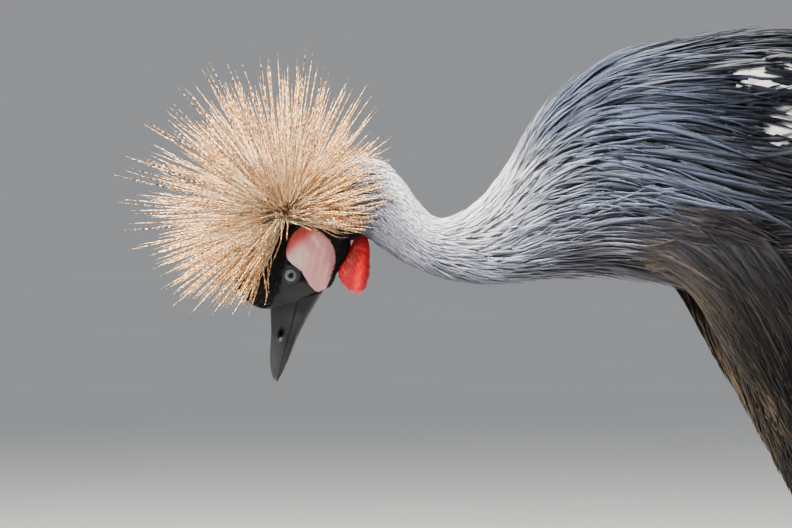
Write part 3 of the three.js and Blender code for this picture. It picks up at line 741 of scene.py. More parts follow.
def make_skin():
    depth = lambda u: mix(SKIN_DEPTH["neck"], SKIN_DEPTH["body"], ease(u, 6.5, 8.5))
    skull = loft(HEAD, -0.5, HEAD.end, 36, 40, SKIN_DEPTH["head"])
    crown = ellipsoid(FORECROWN["centre"], FORECROWN["radii"], SKIN_DEPTH["head"])
    parts = [loft(BODY, 0, BODY.end, 80, 48, depth)]
    parts += [(from_head(points), faces) for points, faces in (skull, crown)]
    parts += [loft(LEGS[side], 0, FEATHER_END + 0.3, 24, 24, SKIN_DEPTH["leg"]) for side, _ in SIDES]
    parts += [ellipsoid(bulge["centre"], bulge["radii"]) for bulge in (THROAT, JAW)]
    points, faces = remeshed(parts, SKIN_CELL)
    on_head = (to_head(points)[:, 0] < 46) & (points[:, 0] < -255)
    # painted shade on the skin under the body's feathers
    colours = body_colour(points) * mix(SKIN_PAINTED_SHADE, 1.0, on_head[:, None])
    flat = np.stack([(points[:, 0] + 330) / 680, (points[:, 2] - 200) / 450])
    uv = np.clip(MAP_BORDER + (1 - 2 * MAP_BORDER) * flat, 0, 1)
    bare_piece("skin", points, faces, colours, uv, "skin", FLESH)
    return points, faces


skin_points, skin_faces = make_skin()
skin_tree = BVHTree.FromPolygons(skin_points.tolist(), skin_faces.tolist())


# Feathers of the neck and body


def off_back(angle):
    """Degrees from the middle of the back, the same on both sides"""
    return np.degrees(np.abs((angle + math.pi) % (2 * math.pi) - math.pi))


def in_wing(angle):
    """1 on the flank and upper side, where the wing lies, and 0 on the back and belly"""
    half = off_back(angle)
    return ease(half, 30, 42) * ease(-half, -104, -90)


# How far back the plumes reach over the wing, by degrees from the middle of the back: they leave two
# patches of the white coverts bare, one above the other.
PLUME_ENDS = (
    [36, 42, 46, 58, 61, 65, 68, 82, 90, 106, 114],
    [420, 230, 31, 34, 88, 88, 50, 54, 112, 130, 420],
)


def neck_coat():
    blades = Blades()
    u, angle = roots(BODY, 0.15, 8.4, lambda u: mix(2.9, 8.0, ease(u, 4.0, 8.2)),
                     lambda u: mix(1.5, 3.4, ease(u, 4.0, 8.2)))
    n = len(u)
    grow = ease(u, 3.5, 8.2)
    length = mix(11, 52, grow) * rng.uniform(0.75, 1.25, n)
    width = mix(1.55, 4.6, grow) * rng.uniform(0.8, 1.2, n)
    turn = 0.12 * np.sin(angle) + rng.normal(0, 0.11, n)
    roll = rng.normal(0, 0.14, n)
    rise = mix(0.6, 2.2, grow) + rng.uniform(-0.3, 0.4, n)
    lay(blades, BODY, u, angle, length, width, turn=turn, sink=mix(2.3, 4.2, grow), roll=roll, rise=rise,
        thick=mix(0.3, 0.5, grow), steps=4, section=SLIM)
    blades.piece("neck_feathers", "neck", "neck_feather")


WING_RISE = 14.0  # how high the plumes' tips stand off the body where they lie over the wing
BEHIND_SINK = -8.0  # the plumes that start behind the upper bare patch start above the wing's coverts
SHORTEST_PLUME = 24


def strayed(amount, n):
    """Random turns, limited so that no plume lies right across its neighbours"""
    return amount * rng.normal(0, 1, n).clip(-1.7, 1.7)


def plumes(name, first, pitch, gap, width, length, rise, stray, wave, painted_shade, steps=9, section=FLAT):
    """Long narrow plumes of the body. Those of the shoulders arch down and reach over the wing's front."""
    blades = Blades()
    u, angle = roots(BODY, first, 18.2, lambda u: mix(0.65, 1, ease(u, 8, 11)) * pitch,
                     lambda u: mix(0.6, 1, ease(u, 8, 11)) * gap)
    x = BODY.values(u)[:, 0]
    long = length * mix(0.42, 1.0, ease(u, 7.4, 10.4)) * rng.uniform(0.7, 1.15, len(u))
    half = off_back(angle)
    down = mix(0.2, -0.12, ease(half, 88, 118))
    landing = half + np.degrees(down * np.abs(np.sin(angle)) * np.minimum(long, 70) / 95)
    room = np.minimum(np.interp(landing, *PLUME_ENDS), np.interp(half, *PLUME_ENDS) + 60)
    behind = (x > 48) & (x < 150) & (half > 34) & (half < 52)
    long = np.minimum(long, np.where(behind, 420, room) - x + rng.uniform(-7, 3, len(u)))
    good = long > SHORTEST_PLUME
    u, angle, x, long, down, behind = (numbers[good] for numbers in (u, angle, x, long, down, behind))
    n = len(u)
    arch = down * np.sin(angle)
    over = ease(x + long, 18, 78) * in_wing(angle)
    wide = width * mix(0.7, 1, ease(u, 8, 11)) * rng.uniform(0.6, 1.3, n)
    tip = mix(rise, WING_RISE, over) + rng.uniform(-1.3, 1.3, n)
    # painted shade: a factor on the colour; the inner layer, under the others, is darkened to stand for the
    # shade there
    colour = body_colour(BODY.surface(u, angle)) * (painted_shade * rng.uniform(0.62, 1.4, n))[:, None]
    turn = arch + strayed(stray, n)
    roll = rng.normal(0, 0.24, n)
    bend = strayed(wave, n) - 0.1 * arch
    lay(blades, BODY, u, angle, long, wide, turn=turn, sink=np.where(behind, BEHIND_SINK, 6.0), rise=tip,
        lift=0.85, roll=roll, thick=0.7, steps=steps, bend=bend, colour=colour, section=section)
    blades.piece(name, "body", "body_feather")


HIP_PLUMES = 640  # on each side


def hip_coat():
    """Plumes that leave the lower flank and hang over the top and the front of the thigh"""
    for side, word in SIDES:
        n = HIP_PLUMES
        form = LEGS[side]
        u = rng.uniform(0.9, 4.0, n)
        turn = np.radians(rng.uniform(35, 178, n))
        end = form.surface(u, -side * turn, rng.uniform(2.0, 5.0, n))
        back = mix(92, 34, ease(turn, 1.8, 3.1)) * rng.uniform(0.75, 1.1, n)
        start_u = BODY.station(end[:, 0] - back, 6)
        start_turn = mix(math.radians(112), math.radians(160), ease(turn, 1.2, 3.2)) + rng.normal(0, 0.09, n)
        start = BODY.surface(start_u, -side * start_turn, -4.0)
        middle = mix(start, end, 0.5)
        middle[:, 2] += 0.26 * (start[:, 2] - end[:, 2]) + 5
        t = np.linspace(0, 1, 9)[None, :, None]
        path = (1 - t) ** 2 * start[:, None] + 2 * (1 - t) * t * middle[:, None] + t * t * end[:, None]
        clear = rng.uniform(1.0, 4.0, n)[:, None, None]
        for solid, last in ((BODY, BODY.end), (form, FEATHER_END)):
            path = np.where(t > 0.15, out_of(path, solid, clear, last), path)
        path = relaxed(path, 3)
        x, z = form.values(u).T[:2]
        out = end - np.stack([x, np.full(n, side * KNEE_OUT * 0.4), z], -1)
        ahead = unit(np.gradient(path, axis=1))
        across = unit(np.cross(ahead, unit(out)[:, None]))
        up = unit(np.cross(across, ahead))
        brown = rng.random(n)[:, None] * ease(turn, 1.9, 2.9)[:, None]
        colour = mix(mix(BELLY, DUSK, rng.random(n)[:, None]), THIGH_EDGE * 0.9, brown)
        colour = mix(colour, THIGH, 0.8 * ease(u, 1.8, 3.6)[:, None])
        colour = mix(body_colour(start)[:, None], colour[:, None], ease(t, 0.1, 0.7))
        colour = colour * rng.uniform(0.5, 1.4, n)[:, None, None]
        blades = Blades()
        blades.add(path, across, up, rng.uniform(3.0, 6.5, n), np.full(n, 0.6), PLUME, FLAT, 0.2, colour,
                   unrolled(BODY, start_u, -side * start_turn), rng.random(n))
        blades.piece(f"hip_feathers_{word}", "body", "body_feather")


def thigh_coat():
    for side, word in SIDES:
        blades = Blades()
        form = LEGS[side]
        u, angle = roots(form, 0.3, FEATHER_END - 0.15, 6.0, 3.6)
        n = len(u)
        grow = ease(u, 4.2, 6.0)
        length = mix(58, 14, grow) * rng.uniform(0.75, 1.2, n)
        width = mix(5.5, 2.8, grow) * rng.uniform(0.7, 1.25, n)
        front = ease(-np.cos(angle), 0.6, 1.0) * ease(-u, -5.0, -3.0)
        top = ease(-u, -3.0, -1.2)
        colour = mix(THIGH, BELLY * 0.8, top[:, None])
        colour = mix(colour, THIGH_EDGE, front[:, None] * rng.uniform(0.2, 0.9, n)[:, None])
        colour = colour * rng.uniform(0.55, 1.5, n)[:, None]
        lay(blades, form, u, angle, length, width, turn=rng.normal(0, 0.14, n), sink=1.8,
            rise=mix(3.2, 0.8, grow) + rng.uniform(-0.8, 0.8, n) * (1 - grow), thick=0.5, steps=6,
            roll=rng.normal(0, 0.25, n), colour=colour)
        blades.piece(f"thigh_feathers_{word}", "thigh", "thigh_feather")


# Wings


def wing_edge(rows, u):
    return np.radians(np.interp(u, np.arange(len(rows)), rows))


def wing_arm(side, word):
    """The arm of the wing under its feathers"""
    steps, width = 40, 16
    u = np.linspace(0.6, 5.0, steps)[:, None]
    across = np.linspace(0, 1, width)[None, :]
    angle = -side * mix(wing_edge(WING_TOP, u), wing_edge(WING_BOTTOM, u), across)
    crown = np.sqrt(np.sin(math.pi * mix(0.04, 0.96, across))) * np.minimum(1, 0.2 + u - 0.6)
    outside = MANTLE.surface(u + 0 * across, angle, 2.5 * crown)
    inside = MANTLE.surface(u + 0 * across, angle, -6.0 + 0 * crown)
    verts, faces = rings_mesh(np.concatenate([outside, inside[:, ::-1]], axis=1))
    uv = (np.repeat(u[:, 0] / 6, 2 * width), np.tile(np.linspace(0.1, 0.9, 2 * width), steps))
    bare_piece(f"wing_arm_{word}", verts, faces, WHITE * 0.6, uv, "skin")


def wing_row(blades, side, u, count, first, last, length, width, colour, **kind):
    across = np.linspace(first, last, count)
    at = u + 0.22 * (np.arange(count) % 2) + rng.uniform(-0.06, 0.06, count)
    angle = -side * mix(wing_edge(WING_TOP, at), wing_edge(WING_BOTTOM, at), across)
    kind["turn"] = -side * (kind.get("turn", 0.0) + rng.normal(0, kind.pop("stray", 0.03), count))
    reach = length * rng.uniform(0.93, 1.07, count)
    lay(blades, MANTLE, at, angle, reach, width * rng.uniform(0.93, 1.07, count), colour=colour, **kind)


# Station, feathers in the row, and in the covert rows their length and width
COVERT_ROWS = (
    (0.45, 15, 50, 15), (0.72, 16, 54, 16), (1.0, 15, 62, 18),
    (1.3, 15, 70, 19), (1.65, 14, 78, 21), (2.0, 14, 92, 22),
)
GOLDEN_ROWS = ((2.45, 16), (2.7, 16), (2.95, 15), (3.2, 14))
FLIGHT_SHAPE = {"outline": QUILL, "section": BROAD, "steps": 16}
COVERT_SHAPE = {"outline": ROUND, "section": BROAD, "sink": 1.5, "camber": 0.2, "thick": 0.9}


def wing(side, word):
    wing_arm(side, word)
    coverts, flight, golden = Blades(), Blades(), Blades()
    wing_row(flight, side, 3.9, 7, 0.62, 1.02, 226, 22, BLACK, sink=4, rise=-2.5, camber=0.12, thick=1.0,
             **FLIGHT_SHAPE)
    wing_row(flight, side, 3.0, 12, 0.0, 1.0, 232, 29, CHESTNUT, sink=1, rise=3.0, camber=0.16, thick=1.1,
             **FLIGHT_SHAPE)
    for u, count, length, width in COVERT_ROWS:
        wing_row(coverts, side, u, count, 0.0, 1.0, length, width, WHITE, rise=4.4 + 0.6 * (u < 1.2), steps=9,
                 roll=rng.normal(0, 0.05, count), stray=0.07, **COVERT_SHAPE)
    cream = mix(WHITE, GOLD, 0.35)
    wing_row(coverts, side, 2.4, 14, 0.0, 0.97, 112, 21, cream, rise=4.6, steps=10, stray=0.05,
             **COVERT_SHAPE)
    for u, count in GOLDEN_ROWS:
        gold = GOLD * rng.uniform(0.45, 1.1, (count, 1))
        wing_row(golden, side, u, count, 0.05, 0.66, 142, 4.4, gold, sink=0, rise=9.5, turn=0.24, stray=0.14,
                 steps=12, camber=0.1, thick=0.7, bend=-side * rng.uniform(-0.1, 0.7, count))
    flight.piece(f"wing_flight_{word}", "flight", "wing_feather", [f"wing_{word}"])
    coverts.piece(f"wing_coverts_{word}", "wing", "wing_feather")
    golden.piece(f"wing_plumes_{word}", "body", "wing_feather")


# Tail: the middle pair lies on top, and each pair outwards lies below the last.

TAIL_LENGTH = 171.0
TAIL_DROOP = math.radians(17)
TAIL_ROOT = (299.0, 509.0)
TAIL_PAIRS = 6


def tail():
    blades = Blades()
    order = np.arange(-TAIL_PAIRS, TAIL_PAIRS + 1)
    n = len(order)
    t = np.linspace(0, 1, 14)[None, :]
    drop = TAIL_DROOP + math.radians(1.6) * t
    far = (TAIL_LENGTH * rng.uniform(0.97, 1.02, n))[:, None] * t
    out = np.abs(order)[:, None]
    path = np.stack([
        TAIL_ROOT[0] + far * np.cos(drop),
        1.75 * order[:, None] + 0 * far,
        TAIL_ROOT[1] + 6 - 1.5 * out - far * np.sin(drop),
    ], -1)
    ahead = unit(np.gradient(path, axis=1))
    side = np.broadcast_to([0.0, -1.0, 0.0], path.shape)
    up = unit(np.cross(side, ahead))
    up *= np.sign(up[..., 2:3])
    patch = np.stack([np.full(n, 0.5), 0.1 + 0.8 * (order + TAIL_PAIRS) / (2 * TAIL_PAIRS)], -1)
    colour = np.broadcast_to(BLACK, (n, 3))
    blades.add(path, side, up, np.full(n, 16.0), np.full(n, 1.0), QUILL, BROAD, 0.1, colour, patch,
               rng.random(n))
    blades.piece("tail_feathers", "tail", "tail_feather", ["tail"])
    coverts = Blades()
    u, angle = roots(BODY, 17.0, 18.6, 8.0, 7.0)
    lay(coverts, BODY, u, angle, rng.uniform(52, 76, len(u)), 12.0, sink=5, rise=1.5, steps=8)
    coverts.piece("tail_coverts", "body", "tail_feather")


neck_coat()
# The inner layer's last number, 0.32, is painted shade under the outer layers.
plumes("body_feathers_inner", 7.6, 15, 9.0, 9.0, 95, 1.6, 0.06, 0.2, 0.32)
plumes("body_feathers_outer", 7.4, 13.0, 6.6, 5.4, 132, 3.6, 0.07, 0.22, 1.05)
plumes("body_feathers_loose", 7.9, 26, 11.0, 2.1, 140, 5.4, 0.1, 0.5, 1.1, 10, SLIM)
thigh_coat()
hip_coat()
for side, word in SIDES:
    wing(side, word)
tail()


# Tufts on the head, laid on the skin itself

VELVET_TUFTS = 12000


def velvet():
    """Short dense feathers on the forehead, round the eyes, on the throat and behind the cheeks"""
    corners = skin_points[skin_faces]
    centre = corners.mean(axis=1)
    local = to_head(centre)
    cross = np.cross(corners[:, 2] - corners[:, 0], corners[:, 3] - corners[:, 1])
    area = np.linalg.norm(cross, axis=1) / 2
    head = (local[:, 0] < 45) & (local[:, 0] > -34) & (centre[:, 0] < -262)
    eye = np.hypot(local[:, 0], local[:, 2]) < 6.4
    cheek = in_cheek(local[:, 0], local[:, 2], 0.95) & (np.abs(local[:, 1]) > 6)
    chosen = np.flatnonzero(head & ~eye & ~cheek & (on_lores(local) < 0.5))
    share = area[chosen] / area[chosen].sum()
    pick = chosen[rng.choice(len(chosen), size=VELVET_TUFTS, p=share)]
    weight = rng.dirichlet(np.ones(4), len(pick))
    base = (corners[pick] * weight[..., None]).sum(axis=1)
    up = unit(cross)[pick]
    back = unit(np.array([0.83, 0.0, 0.55]) @ TURN.T)
    back = np.broadcast_to(back, up.shape) + rng.normal(0, 0.12, up.shape)
    ahead = unit(back - up * (back * up).sum(axis=1, keepdims=True))
    here = to_head(base)
    long = mix(3.0, 6.0, ease(here[:, 0], 0, 40)) * rng.uniform(0.8, 1.2, len(pick))
    t = np.linspace(0, 1, 3)[None, :, None]
    path = base[:, None] + ahead[:, None] * (long[:, None, None] * t)
    path = path + up[:, None] * (-0.4 + 1.5 * t - 0.7 * t * t)
    side = np.broadcast_to(unit(np.cross(ahead, up))[:, None], path.shape)
    above = np.broadcast_to(up[:, None], path.shape)
    patch = np.stack([0.5 + here[:, 0] / 120, 0.5 + np.sign(here[:, 1]) * 0.2 + here[:, 2] / 300], -1)
    n = len(pick)
    blades = Blades()
    blades.add(path, side, above, np.full(n, 1.15), np.full(n, 0.3), PLUME, SLIM, 0.2,
               np.broadcast_to(VELVET, (n, 3)), patch, rng.random(n))
    blades.piece("head_velvet", "velvet", "head_velvet")


# Bare cheeks

CHEEK_CURVES = [
    [(3.5, -8.5), (9, -1), (8, 9), (20, 9)],
    [(20, 9), (33, 9), (44, 2), (41, -9)],
    [(41, -9), (38, -22), (27, -33), (12, -32)],
    [(12, -32), (0, -31.5), (-9, -30), (-8.5, -25)],
    [(-8.5, -25), (-8, -19), (-2, -14), (3.5, -8.5)],
]
CHEEK_MIDDLE = np.array([17.0, -13.0])
CHEEK_PINK = np.array([0.76, 0.34, 0.33])
CHEEK_PAINTED_HIGHLIGHT = np.array([0.92, 0.70, 0.68])
CHEEK_RED = np.array([0.66, 0.045, 0.045])


def cheek_outline(count):
    """Points of the outline at even angles round the middle of the cheek"""
    t = np.linspace(0, 1, 40, endpoint=False)[:, None]
    points = []
    for a, b, c, d in CHEEK_CURVES:
        a, b, c, d = map(np.array, (a, b, c, d))
        points.append((1 - t) ** 3 * a + 3 * (1 - t) ** 2 * t * b + 3 * (1 - t) * t * t * c + t**3 * d)
    off = np.concatenate(points) - CHEEK_MIDDLE
    turn = np.arctan2(off[:, 1], off[:, 0])
    order = np.argsort(turn)
    angle = np.linspace(-math.pi, math.pi, count, endpoint=False)
    reach = np.interp(angle, turn[order], np.hypot(*off.T)[order], period=2 * math.pi)
    return angle, reach


def in_cheek(x, z, share=1.0):
    angle, reach = cheek_outline(180)
    off_x, off_z = x - CHEEK_MIDDLE[0], z - CHEEK_MIDDLE[1]
    limit = np.interp(np.arctan2(off_z, off_x), angle, reach, period=2 * math.pi)
    return np.hypot(off_x, off_z) < limit * share


def on_skull(x, z, side):
    """How far out the skin lies at a place on the side of the head, and 0 beside the head"""
    start = from_head([[x, side * 70, z]])[0]
    hit, _, _, _ = skin_tree.ray_cast(Vector(start), Vector((0, -side, 0)))
    return side * hit.y if hit else 0.0


def cheek(side, word):
    angle, reach = cheek_outline(96)
    shares = np.linspace(0, 1, 26)[1:]
    spokes = np.stack([np.cos(angle), np.sin(angle)], -1)
    grid = CHEEK_MIDDLE + shares[:, None, None] * reach[None, :, None] * spokes[None]
    out = np.zeros(grid.shape[:2])
    for i, ring in enumerate(grid):
        for k, (x, z) in enumerate(ring):
            found = on_skull(x, z, side)
            if found < 3:
                grid[i, k], out[i, k] = grid[i - 1, k], out[i - 1, k]
            else:
                out[i, k] = found
    swell = 1.9 * np.sqrt(np.clip(1 - shares**6, 0, 1))[:, None] - 0.5
    fold = 0.18 * np.sin(grid[..., 1] * 1.1 + 0.5 * np.sin(grid[..., 0] * 0.6))
    top = np.stack([grid[..., 0], side * (out + swell + fold), grid[..., 1]], -1)
    under = np.stack([grid[..., 0], side * (out - 3.0), grid[..., 1]], -1)
    verts, faces = rings_mesh(np.concatenate([top, under[::-1]], axis=0))
    x, z = verts[:, 0], verts[:, 2]
    # a painted highlight: a pale spot near the top of the cheek
    colour = mix(CHEEK_PINK, CHEEK_PAINTED_HIGHLIGHT, np.exp(-((x - 12) ** 2 + (z - 3) ** 2) / 110)[:, None])
    upper = 0.545 * (x - CHEEK_MIDDLE[0]) + 0.838 * (z - CHEEK_MIDDLE[1])
    colour = mix(colour, CHEEK_RED, 0.9 * ease(upper, 11.5, 20)[:, None])
    bare_piece(f"cheek_skin_{word}", from_head(verts), faces, colour, (0.5 + x / 120, 0.5 + z / 120), "cheek",
               [f"cheek_{word}"])


# Eyes and lids

EYE_RADIUS = 7.2
PUPIL, IRIS = 2.1, 4.9
IRIS_DEEP = np.array([0.075, 0.095, 0.115])
IRIS_PALE = np.array([0.17, 0.205, 0.235])
PUPIL_BLACK = np.array([0.002, 0.002, 0.002])
RIM_BLACK = np.array([0.01, 0.009, 0.01])
LID_BLACK = np.array([0.014, 0.013, 0.014])


def eye(side, word):
    polar = np.concatenate([np.linspace(0.005, 0.9, 60), np.linspace(0.95, math.pi - 0.02, 24)])[:, None]
    turn = circle(96)
    off = EYE_RADIUS * np.sin(polar)
    rings = np.stack([
        off * np.cos(turn),
        side * (EYE_OUT + EYE_RADIUS * np.cos(polar) + 0.5 * np.exp(-((polar / 0.5) ** 2))) + 0 * turn,
        off * np.sin(turn),
    ], -1)
    verts, faces = rings_mesh(rings)
    far = np.repeat(off[:, 0], len(turn))
    spokes = np.tile(turn, len(polar))
    fleck = 0.5 + 0.25 * np.sin(spokes * 37 + 3 * np.sin(spokes * 5)) + 0.25 * np.sin(spokes * 61 + far * 4)
    iris = mix(IRIS_DEEP, IRIS_PALE, fleck[:, None])
    iris = mix(iris * 0.5, iris, ease(far, PUPIL, PUPIL + 1.0)[:, None])
    colour = mix(PUPIL_BLACK, iris, ease(far, PUPIL - 0.1, PUPIL + 0.1)[:, None])
    colour = mix(colour, RIM_BLACK, ease(far, IRIS - 0.5, IRIS + 0.2)[:, None])
    bare_piece(f"eyeball_{word}", from_head(verts), faces, colour, 0.5 + verts[:, ::2].T / 20, "eye",
               [f"eye_{word}"])


def lids(side, word):
    """A soft ring round the eye, heavier above, with fine folds"""
    turn, round_ = circle(120)[:, None], circle(20)
    brow = ease(np.cos(turn + 0.5), -0.2, 0.9)
    heavy = 1.0 + 1.0 * brow
    folds = 0.08 * np.sin(turn * 26) * (np.cos(round_) > -0.5)
    ring_x, ring_z = 5.3, 5.0
    x = np.cos(turn) * (ring_x + heavy * 0.5 + (heavy + folds) * np.cos(round_))
    z = np.sin(turn) * (ring_z + heavy * 0.5 + (heavy + folds) * np.cos(round_))
    y = side * (18.9 + 0.3 * brow + (heavy * 0.9 + folds) * np.sin(round_))
    rings = np.stack([x, y, z], -1)
    verts, faces = rings_mesh(np.concatenate([rings, rings[:1]], axis=0))
    count = x.size
    verts = verts[:count]
    faces = [[corner % count for corner in polygon] for polygon in faces[:-2]]
    bare_piece(f"lids_{word}", from_head(verts), faces, LID_BLACK, 0.5 + verts[:, ::2].T / 20, "lid")


# Bill. Each row: x along the mouth, x and z of the ridge, half width.

BILL_UPPER = [
    [-17.9, -30.4, 8.6, 11.0],
    [-31.0, -40.5, 5.4, 8.4],
    [-44.0, -50.5, 2.6, 6.5],
    [-60.0, -65.0, -0.4, 4.7],
    [-73.0, -75.5, -3.8, 3.2],
    [-82.0, -83.4, -8.0, 1.7],
    [-86.6, -86.8, -10.4, 0.5],
]
BILL_LOWER = [
    [-17.9, -8.0, -27.6, 11.0],
    [-32.0, -25.8, -22.4, 8.3],
    [-47.0, -46.5, -17.8, 6.0],
    [-65.0, -66.0, -15.3, 4.1],
    [-78.0, -78.6, -13.0, 2.4],
    [-83.6, -83.8, -11.6, 0.8],
]
NOSTRIL = {"x": -46.0, "z": -4.6, "long": 5.2, "tall": 2.5, "deep": 2.4}
HORN_DARK = np.array([0.013, 0.0135, 0.016])
HORN_PAINTED_SHEEN = np.array([0.036, 0.036, 0.040])
HORN_TIP = np.array([0.12, 0.09, 0.065])
HOLLOW_PAINTED_SHADE = np.array([0.001, 0.001, 0.001])


def nostrils(depth):
    """Two matt black hollows, one in the pit of each nostril, as painted shade in the holes"""
    radii = (NOSTRIL["long"] * 0.72, 0.9, NOSTRIL["tall"] * 0.7)
    middles = [(NOSTRIL["x"], side * depth, NOSTRIL["z"]) for side, _ in SIDES]
    inside, faces = merged([ellipsoid(middle, radii) for middle in middles])
    uv = (0.05 - inside[:, 0] / 100, 0.5 + inside[:, 2] / 100)
    bare_piece("nostrils", from_head(inside), faces, HOLLOW_PAINTED_SHADE, uv, "hollow")


def mandible(name, stations, mouth, node):
    rows = Form([[*row, 0.0] for row in stations])
    u = np.linspace(-0.4, rows.end, 110)
    x, ridge_x, ridge_z, half, _ = np.moveaxis(rows.values(u), -1, 0)[..., None]
    turn = np.linspace(0, math.pi, 49)[None, :]
    up = np.sin(turn) ** 0.85
    rings = np.stack([mix(x, ridge_x, up), half * np.cos(turn), mix(mouth, ridge_z, up)], -1)
    verts, faces = rings_mesh(rings)
    x, y, z = verts.T
    off_mouth = np.abs(z - mouth)
    # painted sheen: lighter grey near the base of the bill beside the mouth
    colour = mix(HORN_DARK, HORN_PAINTED_SHEEN, (ease(x, -52, -22) * ease(-off_mouth, -14, -3))[:, None])
    colour = mix(colour, LORES, ease(x, -34, -24)[:, None])
    colour = mix(colour, HORN_TIP, ease(-x, 80, 87)[:, None])
    # painted shade: darker along the mouth line where the mandibles meet
    colour = colour * mix(0.25, 1.0, ease(off_mouth, 0.1, 0.6))[:, None]
    if node == "bill_upper":
        along, above = (x - NOSTRIL["x"]) / NOSTRIL["long"], (z - NOSTRIL["z"]) / NOSTRIL["tall"]
        pit = np.exp(-((along**2 + above**2) ** 1.6))
        verts = verts.copy()
        verts[:, 1] -= np.sign(y) * np.minimum(NOSTRIL["deep"] * pit, np.abs(y) * 0.8)
        # painted shade: the pit of the nostril is darkened towards black
        colour = mix(colour, PUPIL_BLACK, ease(pit, 0.1, 0.5)[:, None])
        nostrils(np.abs(y[(np.abs(along) < 0.15) & (np.abs(above) < 0.3)]).mean() - NOSTRIL["deep"])
    bare_piece(name, from_head(verts), faces, colour, (0.05 - x / 100, 0.5 + z / 100), "bill",
               [node])


# Wattle

WATTLE_ROWS = [  # x, z, half length and half width of each level, from the throat down
    [-262.0, 474.0, 4.0, 3.5],
    [-262.5, 466.0, 7.0, 6.0],
    [-264.5, 458.0, 9.4, 8.2],
    [-266.6, 450.0, 11.4, 9.8],
    [-267.5, 443.5, 12.2, 10.4],
    [-267.2, 437.0, 10.6, 9.6],
    [-266.0, 431.5, 7.4, 7.2],
    [-265.0, 428.2, 3.0, 3.0],
]
WATTLE_CELL = 0.6
WATTLE_DEEP = np.array([0.42, 0.006, 0.010])
WATTLE_PAINTED_GLOW = np.array([0.98, 0.0, 0.010])


def wattle():
    """Two thin lobes that hang side by side, with a groove between them below, and a painted glow down their
    middle
    """
    rows = Form([[*row, 0.0] for row in WATTLE_ROWS])
    x, z, long, wide, _ = np.moveaxis(rows.values(np.linspace(0, rows.end, 70)), -1, 0)[..., None]
    parts = []
    turn = circle(40)
    for side, _ in SIDES:
        y = side * wide * 0.42 + wide * 0.58 * np.sin(turn)
        parts.append(rings_mesh(np.stack([x + long * np.cos(turn), y, z + 0 * turn], -1)))
    points, faces = remeshed(parts, WATTLE_CELL, 3)
    x, y, z = points.T
    fold = 0.16 * np.sin(0.8 * z + 1.5 * np.sin(0.5 * x + 0.4 * y)) + 0.12 * np.sin(1.7 * x + 0.9 * z)
    out = unit(points - np.array([-264.5, 0, 447]))
    points = points + out * fold[:, None] * ease(-z, -470, -455)[:, None]
    # painted glow: a brighter red streak down the middle of the lower lobes, for light shining through them
    painted_glow = np.exp(-(((x + 263 - 0.16 * (z - 447)) / 3.0) ** 2)) * ease(-z, -468, -454)
    colour = mix(WATTLE_DEEP, WATTLE_PAINTED_GLOW, painted_glow[:, None])
    uv = (0.5 + (x + 264) / 80 + 0.2 * np.sign(y), 0.5 + (z - 447) / 80)
    bare_piece("wattle_skin", points, faces, colour, uv, "wattle", ["wattle"])


velvet()
for side, word in SIDES:
    cheek(side, word)
    eye(side, word)
    lids(side, word)
mandible("bill_upper_horn", BILL_UPPER, MOUTH - 0.05, "bill_upper")
mandible("bill_lower_horn", BILL_LOWER, MOUTH + 0.05, "bill_lower")
wattle()


# Crest

CREST_ROOT = np.array([44.0, 0.0, 16.0])
CREST_LEAN = math.radians(43)
CREST_PUSH = 21.0  # a bristle that the head or neck would push aside further than this is left out
CREST_SIDE, CREST_AHEAD = math.radians(98), math.radians(140)
BRISTLE_TIP = np.array([0.16, 0.09, 0.04])
BRISTLE = ([0, 0.1, 0.8, 0.92, 0.96, 1], [0.6, 1, 0.95, 0.7, 0.25, 0.06])
BUNCHES = 260


def off_crown(points, clear):
    """Moves points outwards until they clear the bulge of the forehead."""
    off = points - np.array(FORECROWN["centre"])
    share = np.linalg.norm(off / (np.array(FORECROWN["radii"]) + clear), axis=-1, keepdims=True)
    return np.array(FORECROWN["centre"]) + off * np.where(share < 1, 1 / np.maximum(share, 0.2), 1.0)


# Length of the bristles by degrees from the middle of the crest, towards the forehead and the neck
CREST_FORWARD = ([0, 62, 95, 120, 146], [131, 131, 118, 90, 70])
CREST_BACK = ([0, 45, 75, 95, 118, 133], [131, 128, 104, 96, 84, 48])


